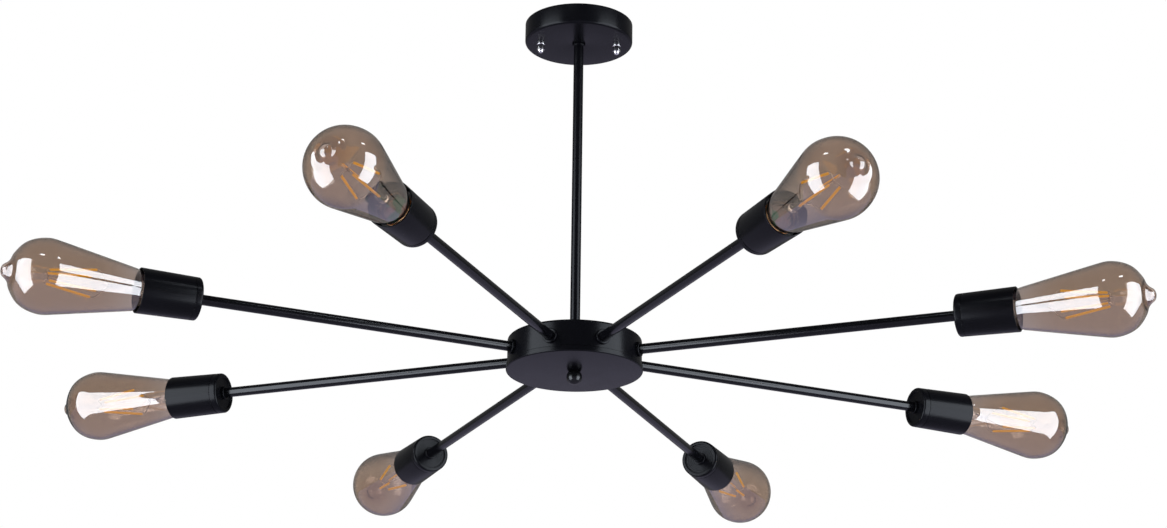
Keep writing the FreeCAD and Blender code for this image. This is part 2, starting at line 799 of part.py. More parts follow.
def bulb_filament():
    """Glass stem with its leads, the four light sticks it carries and the driver board behind it."""
    mouth = cup_mouth_distance
    neck_radius = glass_neck_diameter / 2 - glass_wall - stem_play
    stem = turned_x([
        (mouth - stem_flare_depth, 0, 0),
        (mouth - stem_flare_depth, neck_radius, 0),
        (mouth - stem_flare_depth + glass_wall, neck_radius, 0),
        (mouth + stem_neck, stem_diameter / 2, stem_diameter),
        (mouth + stem_top, stem_diameter / 2, stem_top_edge_radius),
        (mouth + stem_top, stem_post_diameter / 2, 0),
        (mouth + stem_post_top, stem_post_diameter / 2, 0),
        (mouth + stem_post_top, 0, 0),
    ])
    leads = []
    sticks = []
    for index in range(stick_count):
        near, far = stick_ends(index)
        along = (far - near).normalize()
        near_elbow = near - along * lead_elbow_reach
        far_elbow = far + along * lead_elbow_reach
        stem_anchor = Vector(mouth + stem_top - stem_top_edge_radius, 0, 0)
        post_anchor = Vector(mouth + stem_post_top - stem_post_diameter / 2, 0, 0)
        leads += bent_lead(stem_anchor, near_elbow, near)
        leads += bent_lead(post_anchor, far_elbow, far)
        sticks.append(cylinder_between(near, far, stick_diameter / 2))
    board_front = mouth - stem_flare_depth - seat_gap
    board = rod_x(board_front - board_thickness, board_front, neck_radius)
    return group([stem.fuse(leads), board] + sticks)


def lamp_wires():
    """Two wires down the rod, a ring of each in the hub and a pair through each arm."""
    pieces = []
    for side in (-1, 1):
        ring_level = arm_level + side * arm_wire_offset
        ring_edge = harness_ring_radius - rod_wire_diameter / 2 - seat_gap
        x = side * rod_wire_offset
        run_level = -canopy_wire_drop
        pieces.append(wire_along([
            Vector(side * (wire_nut_distance + wire_nut_grip), 0, run_level),
            Vector(x, 0, run_level),
            Vector(x, 0, ring_level),
            Vector(side * ring_edge, 0, ring_level),
        ], rod_wire_diameter, rod_wire_bend_radius))
        pieces.append(Part.makeTorus(harness_ring_radius, rod_wire_diameter / 2,
                                     Vector(0, 0, ring_level), Z_AXIS))
    wire_start = harness_ring_radius + rod_wire_diameter / 2 + seat_gap
    to_contact = [Vector(wire_start, 0, arm_wire_offset),
                  Vector(holder_floor - seat_gap, 0, arm_wire_offset)]
    turn_distance = holder_floor + lamp_wire_bend_radius
    wall_radius = contact_bore_radius - arm_wire_diameter / 2 - seat_gap
    to_shell = [Vector(wire_start, 0, -arm_wire_offset),
                Vector(turn_distance, 0, -arm_wire_offset),
                Vector(turn_distance, 0, -wall_radius),
                Vector(shell_rear - seat_gap, 0, -wall_radius)]
    for index in range(arm_count):
        pieces.append(around_hub(wire_along(to_contact, arm_wire_diameter, 0), index))
        pieces.append(around_hub(wire_along(to_shell, arm_wire_diameter, lamp_wire_bend_radius), index))
    return group(pieces)


def wire_connectors():
    """Two wire nuts in the canopy and a crimped splice where each lamp wire meets its ring."""
    bore = rod_wire_diameter / 2 + thread_clearance
    wire_nut = turned_x([
        (wire_nut_distance, bore, 0),
        (wire_nut_distance, wire_nut_mouth_diameter / 2, 0),
        (wire_nut_distance + wire_nut_length, wire_nut_tip_diameter / 2, wire_nut_tip_diameter / 6),
        (wire_nut_distance + wire_nut_length, 0, 0),
        (wire_nut_distance + wire_nut_grip + seat_gap, 0, 0),
        (wire_nut_distance + wire_nut_grip + seat_gap, bore, 0),
    ])
    wire_nut.translate(Z_AXIS * -canopy_wire_drop)
    other = wire_nut.copy()
    other.rotate(ORIGIN, Z_AXIS, 180)
    pieces = [wire_nut, other]
    splice_start = harness_ring_radius + rod_wire_diameter / 2 + 2 * seat_gap
    splice = tube_x(splice_start, splice_start + splice_length, splice_diameter / 2,
                    arm_wire_diameter / 2 + thread_clearance)
    for index in range(arm_count):
        for side in (-1, 1):
            sleeve = splice.copy()
            sleeve.translate(Z_AXIS * side * arm_wire_offset)
            pieces.append(around_hub(sleeve, index))
    return group(pieces)


def on_every_arm(shape):
    """Copy one piece to every arm as a group."""
    return group([around_hub(shape, index) for index in range(arm_count)])


def build_nodes():
    """Build every node of the light."""
    nodes = {
        "mounting_plate": mounting_plate(),
        "ground_screw": ground_screw(),
        "canopy_studs": canopy_studs(),
        "canopy": canopy(),
        "canopy_cap_nuts": canopy_cap_nuts(),
        "down_rod": down_rod(),
        "rod_collars": rod_collars(),
        "rod_nuts": rod_nuts(),
        "hub_housing": hub_housing(),
        "hub_cover": hub_cover(),
        "hub_stirrup": hub_stirrup(),
        "finial": finial(),
        "arm_tubes": on_every_arm(arm_tube()),
        "arm_rings": on_every_arm(group([hub_ring(), socket_ring()])),
        "arm_nuts": on_every_arm(arm_nut()),
        "lamp_holders": on_every_arm(lamp_holder()),
        "screw_shells": on_every_arm(screw_shell()),
        "socket_contacts": on_every_arm(socket_contact()),
        "lamp_wires": lamp_wires(),
        "wire_connectors": wire_connectors(),
    }
    lamp = {
        "socket_cup": socket_cup(),
        "bulb_cap": bulb_cap(),
        "bulb_contact": bulb_contact(),
        "bulb_glass": bulb_glass(),
        "bulb_filament": bulb_filament(),
    }
    for name, shape in lamp.items():
        for index in range(arm_count):
            nodes[f"{name}_{index + 1}"] = around_hub(shape, index)
    return nodes


def main():
    """Write one STEP file for each node."""
    os.makedirs("parts", exist_ok=True)
    for name, shape in build_nodes().items():
        if not shape.isValid():
            print("not valid:", name)
        shape.exportStep(f"parts/{name}.step")


main()
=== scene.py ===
"""Looks of the ceiling light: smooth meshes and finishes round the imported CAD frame.

Sizes in the classes are in millimetres, in the part's own frame: the origin is the
centre of the canopy's rim on the ceiling and +Z is up. A lamp is drawn about the X axis,
at the arms' level, and turned to its arm.
"""

from dataclasses import dataclass, field
from enum import Enum, IntEnum
from typing import Callable, Optional, Sequence
import json
import logging
import math

import bmesh
import bpy
from mathutils import Matrix, Vector

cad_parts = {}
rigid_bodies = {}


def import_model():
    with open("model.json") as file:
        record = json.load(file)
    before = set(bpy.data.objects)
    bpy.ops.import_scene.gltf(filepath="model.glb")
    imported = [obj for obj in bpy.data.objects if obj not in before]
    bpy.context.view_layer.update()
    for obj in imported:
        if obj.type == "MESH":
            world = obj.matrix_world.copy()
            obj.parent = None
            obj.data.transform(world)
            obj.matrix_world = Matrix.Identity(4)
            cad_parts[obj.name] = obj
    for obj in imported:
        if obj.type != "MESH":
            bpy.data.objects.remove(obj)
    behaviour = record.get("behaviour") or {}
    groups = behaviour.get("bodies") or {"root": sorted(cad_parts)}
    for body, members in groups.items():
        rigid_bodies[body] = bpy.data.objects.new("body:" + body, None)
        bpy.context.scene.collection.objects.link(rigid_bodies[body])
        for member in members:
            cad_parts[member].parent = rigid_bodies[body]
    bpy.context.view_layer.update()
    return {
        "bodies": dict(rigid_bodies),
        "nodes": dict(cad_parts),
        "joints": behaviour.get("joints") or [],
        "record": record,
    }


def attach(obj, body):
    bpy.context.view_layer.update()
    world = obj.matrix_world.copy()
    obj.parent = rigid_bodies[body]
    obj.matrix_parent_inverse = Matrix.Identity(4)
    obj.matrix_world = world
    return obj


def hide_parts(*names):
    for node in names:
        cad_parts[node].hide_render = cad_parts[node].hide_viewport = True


LOG = logging.getLogger("ceiling_light")
MILLIMETRE = 0.001
FULL_TURN = 2 * math.pi
FIXTURE = "fixture"
WHITE = (1.0, 1.0, 1.0)
UP = Vector((0, 0, 1))
ORIGIN = Vector((0, 0, 0))

# Millimetres
ON_AXIS = 1e-6
EDGE_BREAK = 0.18

# Degrees
ARC_STEP = 11.0
HEX_EDGE = 20.0
SOFT_CREASE = 32.0
HARD_CREASE = 50.0

# Counts
HEX_SIDES = 6
THREAD_STEPS = 9

Corner = tuple[float, float, float]
Place = tuple[float, float, float]
Point = tuple[float, float]
Colour = tuple[float, float, float]


class Slot(Enum):
    """The record's material slots."""

    BLACK_SATIN = "black_satin"
    BLACK_GLOSS = "black_gloss"
    NICKEL = "nickel"
    ZINC = "zinc_plated_steel"
    GREEN_SCREW = "green_screw"
    HOLDER = "holder_plastic"
    SHELL = "shell_brass"
    CAP = "cap_brass"
    INSULATOR = "contact_insulator"
    GLASS = "amber_glass"
    STICK = "light_stick"
    WIRE = "wire_insulation"
    CONNECTOR = "connector_plastic"


class Axis(Enum):
    """The axis that a turned piece is drawn about."""

    UPRIGHT = "z"
    ALONG_ARM = "x"


class Sides(IntEnum):
    """How many faces a turned piece has round its axis."""

    HUB = 256
    CANOPY = 192
    LAMP = 128
    COLLAR = 96
    CAP = 72
    TUBE = 64
    ARM = 56
    SMALL = 48
    POST = 24
    STICK = 20


class Grain(Enum):
    """How a plated or polished metal was worked."""

    TURNED = "turned"
    BRIGHT = "bright"


class NodeDraft:
    """A short way to lay out a node tree."""

    def __init__(self, tree: bpy.types.NodeTree) -> None:
        """Take the tree to draw in."""
        self.tree = tree

    def add(self, kind: str, values: Optional[dict[object, object]] = None,
            **settings: object) -> bpy.types.Node:
        """Add a node.

        Args:
            kind: Blender's name for the node.
            values: Values of input sockets, by name or place; a socket as value is linked.
            settings: Attributes of the node.

        Returns:
            The new node.
        """
        node = self.tree.nodes.new(kind)
        for name, setting in settings.items():
            setattr(node, name, setting)
        for name, value in (values or {}).items():
            self.put(node.inputs[name], value)
        return node

    def put(self, socket: bpy.types.NodeSocket, value: object) -> None:
        """Set an input socket to a value, or link it to the socket that is given."""
        if isinstance(value, bpy.types.NodeSocket):
            self.tree.links.new(value, socket)
        else:
            socket.default_value = value

    def math(self, operation: str, first: object, second: object = 0.0,
             third: object = 0.0) -> bpy.types.NodeSocket:
        """Add a Math node and give its result."""
        node = self.add("ShaderNodeMath", operation=operation)
        for index, value in enumerate((first, second, third)):
            self.put(node.inputs[index], value)
        return node.outputs[0]

    def ramp(self, value: object, low: float, high: float) -> bpy.types.NodeSocket:
        """Map a value from low..high to 0..1 along a smooth step."""
        node = self.add("ShaderNodeMapRange", {"Value": value, "From Min": low, "From Max": high},
                        interpolation_type="SMOOTHSTEP")
        return node.outputs[0]

    def blend(self, share: object, first: object, second: object) -> bpy.types.NodeSocket:
        """Mix two colours by a share of the second."""
        node = self.add("ShaderNodeMix", data_type="RGBA")
        self.put(node.inputs["Factor"], share)
        for name, value in (("A", first), ("B", second)):
            socket = next(one for one in node.inputs if one.name == name and one.type == "RGBA")
            plain = isinstance(value, tuple) and len(value) == 3
            self.put(socket, (*value, 1.0) if plain else value)
        return next(one for one in node.outputs if one.type == "RGBA")

    def noise(self, where: bpy.types.NodeSocket, scale: float,
              detail: float) -> bpy.types.NodeSocket:
        """Give a noise value at a place."""
        node = self.add("ShaderNodeTexNoise", {"Vector": where, "Scale": scale, "Detail": detail})
        return node.outputs["Fac"]


class MaterialDraft(NodeDraft):
    """A material with one Principled shader, drawn on object coordinates."""

    def __init__(self, name: str) -> None:
        """Start an empty material."""
        self.material = bpy.data.materials.new(name)
        self.material.use_nodes = True
        super().__init__(self.material.node_tree)
        self.tree.nodes.clear()
        self.output = self.add("ShaderNodeOutputMaterial")
        self.shader = self.add("ShaderNodeBsdfPrincipled")
        self.place = self.add("ShaderNodeTexCoord").outputs["Object"]
        self.show(self.shader.outputs[0])

    def show(self, surface: bpy.types.NodeSocket) -> None:
        """Put a shader on the material's surface."""
        self.tree.links.new(surface, self.output.inputs["Surface"])

    def set(self, **values: object) -> None:
        """Set the Principled shader's sockets; underscores stand for spaces."""
        for name, value in values.items():
            label = name.replace("_", " ").replace("IOR level", "IOR Level")
            if isinstance(value, tuple) and len(value) == 3:
                value = (*value, 1.0)
            self.put(self.shader.inputs[label], value)

    def bump(self, height: bpy.types.NodeSocket, strength: float, distance: float) -> None:
        """Give the surface small relief."""
        node = self.add("ShaderNodeBump", {
            "Height": height, "Strength": strength, "Distance": distance,
        })
        self.put(self.shader.inputs["Normal"], node.outputs[0])

    def vary(self, share: object, middle: float, spread: float) -> bpy.types.NodeSocket:
        """Spread a value evenly about its middle, by a share from 0 to 1."""
        return self.math("MULTIPLY_ADD", share, spread, middle - spread / 2)

    def clear_to_light(self, colour: object) -> None:
        """Let the lamps' light straight through the surface, in a colour."""
        clear = self.add("ShaderNodeBsdfTransparent", {"Color": colour})
        rays = self.add("ShaderNodeLightPath")
        mix = self.add("ShaderNodeMixShader", {
            0: rays.outputs["Is Shadow Ray"], 1: self.shader.outputs[0], 2: clear.outputs[0],
        })
        self.show(mix.outputs[0])


@dataclass(frozen=True)
class PowderCoat:
    """Baked black coat: a fine orange-peel skin with faint handling marks.

    Attributes:
        name: Name of the material.
        colour: Colour of the coat.
        sheen_colour: Colour where the coat is a little thinner.
        roughness: Mean roughness.
        gloss: How strongly the coat mirrors.
        grain: Orange-peel cells to the metre.
        relief: Strength of the orange peel.
    """

    name: str
    colour: Colour
    sheen_colour: Colour
    roughness: float
    gloss: float
    grain: float = 620.0
    relief: float = 0.05

    def material(self) -> bpy.types.Material:
        """Build the material."""
        draft = MaterialDraft(self.name)
        cloud = draft.noise(draft.place, scale=14.0, detail=3.0)
        marks = draft.noise(draft.place, scale=60.0, detail=4.0)
        thin = draft.ramp(cloud, low=0.35, high=0.7)
        draft.set(
            Base_Color=draft.blend(thin, self.colour, self.sheen_colour),
            Roughness=draft.vary(marks, self.roughness, spread=0.1),
            Specular_IOR_Level=self.gloss,
        )
        skin = draft.noise(draft.place, scale=self.grain, detail=1.0)
        draft.bump(skin, strength=self.relief, distance=0.0002)
        return draft.material


@dataclass(frozen=True)
class GlossPaint:
    """Poured black gloss under a clear coat.

    Attributes:
        name: Name of the material.
        colour: Colour of the paint.
    """

    name: str
    colour: Colour

    def material(self) -> bpy.types.Material:
        """Build the material."""
        draft = MaterialDraft(self.name)
        haze = draft.noise(draft.place, scale=90.0, detail=2.0)
        draft.set(
            Base_Color=draft.blend(haze, self.colour, tuple(1.6 * part for part in self.colour)),
            Roughness=draft.vary(haze, 0.19, spread=0.06),
            Specular_IOR_Level=0.2,
            Coat_Weight=0.15,
            Coat_Roughness=0.06,
        )
        skin = draft.noise(draft.place, scale=300.0, detail=1.0)
        draft.bump(skin, strength=0.03, distance=0.0002)
        return draft.material


@dataclass(frozen=True)
class Metal:
    """Plated or polished metal with its working marks.

    Attributes:
        name: Name of the material.
        colour: Colour of the metal.
        stain: Colour where it has dulled.
        roughness: Mean roughness.
        grain: How the metal was worked.
    """

    name: str
    colour: Colour
    stain: Colour
    roughness: float
    grain: Grain = Grain.BRIGHT

    def material(self) -> bpy.types.Material:
        """Build the material."""
        draft = MaterialDraft(self.name)
        cloud = draft.noise(draft.place, scale=45.0, detail=4.0)
        dull = draft.ramp(cloud, low=0.42, high=0.75)
        draft.set(
            Base_Color=draft.blend(dull, self.colour, self.stain),
            Metallic=1.0,
            Roughness=draft.vary(cloud, self.roughness, spread=0.14),
        )
        if self.grain is Grain.TURNED:
            stretched = draft.add("ShaderNodeMapping",
                                  {"Vector": draft.place, "Scale": (1.0, 1.0, 30.0)})
            marks = draft.noise(stretched.outputs[0], scale=220.0, detail=3.0)
            draft.bump(marks, strength=0.12, distance=0.0002)
        else:
            marks = draft.noise(draft.place, scale=800.0, detail=2.0)
            draft.bump(marks, strength=0.04, distance=0.0001)
        return draft.material


@dataclass(frozen=True)
class Plastic:
    """Moulded or extruded plastic with a fine skin.

    Attributes:
        name: Name of the material.
        colour: Colour of the plastic.
        worn_colour: Colour where it is rubbed.
        roughness: Mean roughness.
    """

    name: str
    colour: Colour
    worn_colour: Colour
    roughness: float

    def material(self) -> bpy.types.Material:
        """Build the material."""
        draft = MaterialDraft(self.name)
        cloud = draft.noise(draft.place, scale=70.0, detail=3.0)
        worn = draft.ramp(cloud, low=0.4, high=0.8)
        draft.set(
            Base_Color=draft.blend(worn, self.colour, self.worn_colour),
            Roughness=draft.vary(cloud, self.roughness, spread=0.12),
        )
        skin = draft.noise(draft.place, scale=1500.0, detail=2.0)
        draft.bump(skin, strength=0.08, distance=0.0001)
        return draft.material


@dataclass(frozen=True)
class BulbGlass:
    """Clear glass whose smoky amber film thickens from the neck to the dome.

    Attributes:
        name: Name of the material.
        neck_tint: What the glass lets through at the neck.
        dome_tint: What it lets through at the dome.
        tip_tint: What it lets through at the blown tip.
        edge_tint: What it lets through where it is seen edge on.
        fade: Distances from the hub's axis, in metres, where the film starts and is full.
        tip: Distances where the blown tip starts and is full.
        ior: Refractive index, raised by the mirror of the film.
    """

    name: str
    neck_tint: Colour
    dome_tint: Colour
    tip_tint: Colour
    edge_tint: Colour
    fade: Point
    tip: Point
    ior: float

    def material(self) -> bpy.types.Material:
        """Build the material, with a clear way through for the lamps' light."""
        draft = MaterialDraft(self.name)
        flat = draft.add("ShaderNodeVectorMath", {0: draft.place, 1: (1.0, 1.0, 0.0)},
                         operation="MULTIPLY")
        reach = draft.add("ShaderNodeVectorMath", {0: flat.outputs[0]}, operation="LENGTH")
        film = draft.ramp(reach.outputs["Value"], *self.fade)
        streak = draft.noise(draft.place, scale=30.0, detail=2.0)
        film = draft.math("MULTIPLY_ADD", streak, 0.12, draft.math("MULTIPLY", film, 0.94))
        tip = draft.ramp(reach.outputs["Value"], *self.tip)
        tint = draft.blend(tip, draft.blend(film, self.neck_tint, self.dome_tint), self.tip_tint)
        facing = draft.add("ShaderNodeLayerWeight", {"Blend": 0.5}).outputs["Facing"]
        edge = draft.math("MULTIPLY", draft.ramp(facing, low=0.5, high=0.86), 0.95)
        draft.set(
            Base_Color=draft.blend(edge, tint, self.edge_tint),
            Roughness=0.0,
            IOR=self.ior,
            Transmission_Weight=1.0,
        )
        draft.clear_to_light(draft.blend(0.5, tint, WHITE))
        return draft.material


@dataclass(frozen=True)
class ClearGlass:
    """Plain drawn glass of the stem.

    Attributes:
        name: Name of the material.
        tint: What the glass lets through where it has fine seeds.
        clear_tint: What it lets through elsewhere.
        shade: The light that reaches what is behind it.
    """

    name: str
    tint: Colour
    clear_tint: Colour = (0.96, 0.97, 0.97)
    shade: Colour = (0.93, 0.94, 0.94)

    def material(self) -> bpy.types.Material:
        """Build the material, with a clear way through for the lamps' light."""
        draft = MaterialDraft(self.name)
        seeds = draft.noise(draft.place, scale=160.0, detail=2.0)
        draft.set(
            Base_Color=draft.blend(seeds, self.tint, self.clear_tint),
            Roughness=0.02,
            IOR=1.5,
            Transmission_Weight=1.0,
        )
        draft.clear_to_light((*self.shade, 1.0))
        return draft.material


@dataclass(frozen=True)
class Phosphor:
    """Amber coat of a light stick: grainy and waxy, with a painted glow.

    Attributes:
        name: Name of the material.
        colour: Colour of the coat.
        glow: Colour of its painted glow.
        strength: Strength of its painted glow.
    """

    name: str
    colour: Colour
    glow: Colour
    strength: float

    def material(self) -> bpy.types.Material:
        """Build the material."""
        draft = MaterialDraft(self.name)
        grain = draft.noise(draft.place, scale=1800.0, detail=2.0)
        # The emission is partly the phosphor's own faint fluorescence and mostly painted light: a
        # glow that makes the sticks brighter behind the tinted glass than the lamps light them.
        draft.set(
            Base_Color=draft.blend(grain, self.colour, tuple(0.8 * part for part in self.colour)),
            Roughness=0.45,
            Emission_Color=draft.blend(grain, self.glow, tuple(0.75 * part for part in self.glow)),
            Emission_Strength=self.strength,
        )
        draft.bump(grain, strength=0.3, distance=0.0002)
        return draft.material


@dataclass(frozen=True)
class DriverBoard:
    """Pale potted board with a green field, coppery edges and a painted glow.

    Attributes:
        name: Name of the material.
        resin: Colour of the potting.
        blush: Colour where copper shows through it.
        mask: Colour of the green field.
        glow: Strength of its painted glow, which stands in for light reaching it inside the cap.
        solder: Colour of the small parts on it.
    """

    name: str
    resin: Colour
    blush: Colour
    mask: Colour
    glow: float
    solder: Colour = (0.7, 0.7, 0.68)

    def material(self) -> bpy.types.Material:
        """Build the material."""
        draft = MaterialDraft(self.name)
        fields = draft.noise(draft.place, scale=70.0, detail=1.0)
        masked = draft.ramp(fields, low=0.54, high=0.6)
        blushes = draft.noise(draft.place, scale=130.0, detail=2.0)
        blushed = draft.ramp(blushes, low=0.42, high=0.62)
        cells = draft.add("ShaderNodeTexVoronoi", {"Vector": draft.place, "Scale": 320.0})
        parts = cells.outputs["Distance"]
        surface = draft.blend(blushed, self.resin, self.blush)
        surface = draft.blend(masked, surface, self.mask)
        surface = draft.blend(draft.ramp(parts, low=0.12, high=0.05), surface, self.solder)
        # The emission is a painted glow: the board is no lamp, and its own colour glows to stand in
        # for light inside the cap.
        draft.set(Base_Color=surface, Roughness=0.4, Emission_Color=surface,
                  Emission_Strength=self.glow)
        draft.bump(parts, strength=0.4, distance=0.0003)
        return draft.material


@dataclass(frozen=True)
class Floor:
    """Matt pale floor that is seen from above only.

    Attributes:
        name: Name of the material.
        colour: Colour of the floor.
        mirrored: Its colour in metal and glass.
        lift: How far it is lifted towards its own colour where it is looked at.
    """

    name: str
    colour: Colour
    mirrored: Colour
    lift: float

    def material(self) -> bpy.types.Material:
        """Build the material, see-through from below."""
        draft = MaterialDraft(self.name)
        cloud = draft.noise(draft.place, scale=0.8, detail=2.0)
        draft.set(
            Base_Color=draft.blend(cloud, self.colour, tuple(0.97 * part for part in self.colour)),
            Roughness=0.85,
            Specular_IOR_Level=0.1,
        )
        rays = draft.add("ShaderNodeLightPath").outputs
        seen = draft.math("MAXIMUM", rays["Is Camera Ray"], rays["Is Transmission Ray"])
        pale = draft.add("ShaderNodeEmission", {
            "Color": (*self.colour, 1.0), "Strength": draft.math("MULTIPLY", seen, self.lift),
        })
        lifted = draft.add("ShaderNodeAddShader", {0: draft.shader.outputs[0], 1: pale.outputs[0]})
        glow = draft.add("ShaderNodeEmission", {"Color": (*self.mirrored, 1.0), "Strength": 1.0})
        top = draft.add("ShaderNodeMixShader", {
            0: rays["Is Glossy Ray"], 1: lifted.outputs[0], 2: glow.outputs[0],
        })
        clear = draft.add("ShaderNodeBsdfTransparent")
        under = draft.add("ShaderNodeNewGeometry").outputs["Backfacing"]
        mix = draft.add("ShaderNodeMixShader", {0: under, 1: top.outputs[0], 2: clear.outputs[0]})
        draft.show(mix.outputs[0])
        return draft.material


@dataclass
class Finishes:
    """Every finish of the light, built once.

    Attributes:
        by_slot: The material of each slot.
        glossier: The glossier black coat of the arms.
        stem: Clear glass of the bulbs' stems.
        lead: Metal of the bulbs' leads.
        board: The bulbs' driver boards.
        floor: The stage's floor.
    """

    by_slot: dict[Slot, bpy.types.Material] = field(init=False)
    glossier: bpy.types.Material = field(init=False)
    stem: bpy.types.Material = field(init=False)
    lead: bpy.types.Material = field(init=False)
    board: bpy.types.Material = field(init=False)
    floor: bpy.types.Material = field(init=False)

    def __post_init__(self) -> None:
        """Build the materials."""
        finishes = {
            Slot.BLACK_SATIN: PowderCoat(
                "satin_black_coat", colour=(0.0042, 0.0042, 0.0057),
                sheen_colour=(0.0057, 0.0057, 0.0076), roughness=0.24, gloss=0.1),
            Slot.BLACK_GLOSS: GlossPaint("gloss_black_paint", colour=(0.0055, 0.0055, 0.0062)),
            Slot.NICKEL: Metal(
                "bright_nickel", colour=(0.78, 0.77, 0.75), stain=(0.62, 0.6, 0.56),
                roughness=0.18),
            Slot.ZINC: Metal(
                "zinc_plate", colour=(0.62, 0.64, 0.68), stain=(0.45, 0.46, 0.47), roughness=0.38,
                grain=Grain.TURNED),
            Slot.GREEN_SCREW: Metal(
                "green_dyed_screw", colour=(0.06, 0.32, 0.12), stain=(0.04, 0.2, 0.08),
                roughness=0.34),
            Slot.HOLDER: Plastic(
                "phenolic_holder", colour=(0.022, 0.02, 0.02), worn_colour=(0.05, 0.046, 0.044),
                roughness=0.5),
            Slot.SHELL: Metal(
                "shell_copper_brass", colour=(0.78, 0.42, 0.22), stain=(0.5, 0.24, 0.12),
                roughness=0.3),
            Slot.CAP: Metal(
                "cap_brass_sheet", colour=(0.8, 0.58, 0.34), stain=(0.6, 0.4, 0.22),
                roughness=0.28),
            Slot.INSULATOR: Plastic(
                "glassy_insulator", colour=(0.012, 0.012, 0.016), worn_colour=(0.03, 0.03, 0.035),
                roughness=0.2),
            Slot.GLASS: BulbGlass(
                "smoked_amber_glass", neck_tint=(0.57, 0.52, 0.50), dome_tint=(0.51, 0.42, 0.355),
                tip_tint=(0.42, 0.32, 0.27), edge_tint=(0.06, 0.04, 0.035), fade=(0.385, 0.44),
                tip=(0.505, 0.51), ior=1.75),
            # The sticks' emission is mostly a painted glow, with a little of the phosphor's faint
            # fluorescence.
            Slot.STICK: Phosphor(
                "amber_phosphor", colour=(0.9, 0.48, 0.05), glow=(1.0, 0.52, 0.03), strength=0.9),
            Slot.WIRE: Plastic(
                "wire_insulation_skin", colour=(0.03, 0.03, 0.03), worn_colour=(0.06, 0.06, 0.06),
                roughness=0.45),
            Slot.CONNECTOR: Plastic(
                "connector_shell", colour=(0.8, 0.34, 0.05), worn_colour=(0.66, 0.26, 0.04),
                roughness=0.42),
        }
        self.by_slot = {slot: finish.material() for slot, finish in finishes.items()}
        self.glossier = PowderCoat(
            "glossier_black_coat", colour=(0.0036, 0.0036, 0.0048),
            sheen_colour=(0.0048, 0.0048, 0.0064), roughness=0.15, gloss=0.26).material()
        self.stem = ClearGlass("clear_stem_glass", tint=(0.9, 0.92, 0.91)).material()
        self.lead = Metal(
            "nickel_lead_wire", colour=(0.7, 0.66, 0.6), stain=(0.5, 0.46, 0.4),
            roughness=0.3).material()
        # The board's glow is painted light that stands in for light inside the cap.
        self.board = DriverBoard(
            "driver_board", resin=(0.62, 0.5, 0.47), blush=(0.6, 0.3, 0.22), mask=(0.12, 0.4, 0.24),
            glow=0.18).material()
        self.floor = Floor(
            "pale_floor", colour=(0.72, 0.73, 0.78), mirrored=(0.42, 0.4, 0.55),
            lift=0.65).material()


class TreeDraft(NodeDraft):
    """A geometry node tree with a geometry input, some named inputs and a geometry output."""

    def __init__(self, name: str, sockets: Sequence[tuple[str, str]]) -> None:
        """Start the tree.

        Args:
            name: Name of the tree.
            sockets: Names and types of the inputs after the geometry.
        """
        super().__init__(bpy.data.node_groups.new(name, "GeometryNodeTree"))
        interface = self.tree.interface
        interface.new_socket("Geometry", in_out="INPUT", socket_type="NodeSocketGeometry")
        for label, kind in sockets:
            interface.new_socket(label, in_out="INPUT", socket_type=kind)
        interface.new_socket("Geometry", in_out="OUTPUT", socket_type="NodeSocketGeometry")
        self.source = self.add("NodeGroupInput")
        self.result = self.add("NodeGroupOutput")

    def close(self, shape: bpy.types.NodeSocket) -> bpy.types.NodeTree:
        """End the tree in Realize Instances and Set Material."""
        real = self.add("GeometryNodeRealizeInstances", {"Geometry": shape})
        dressed = self.add("GeometryNodeSetMaterial", {
            "Geometry": real.outputs[0], "Material": self.source.outputs["Material"],
        })
        self.put(self.result.inputs[0], dressed.outputs[0])
        return self.tree


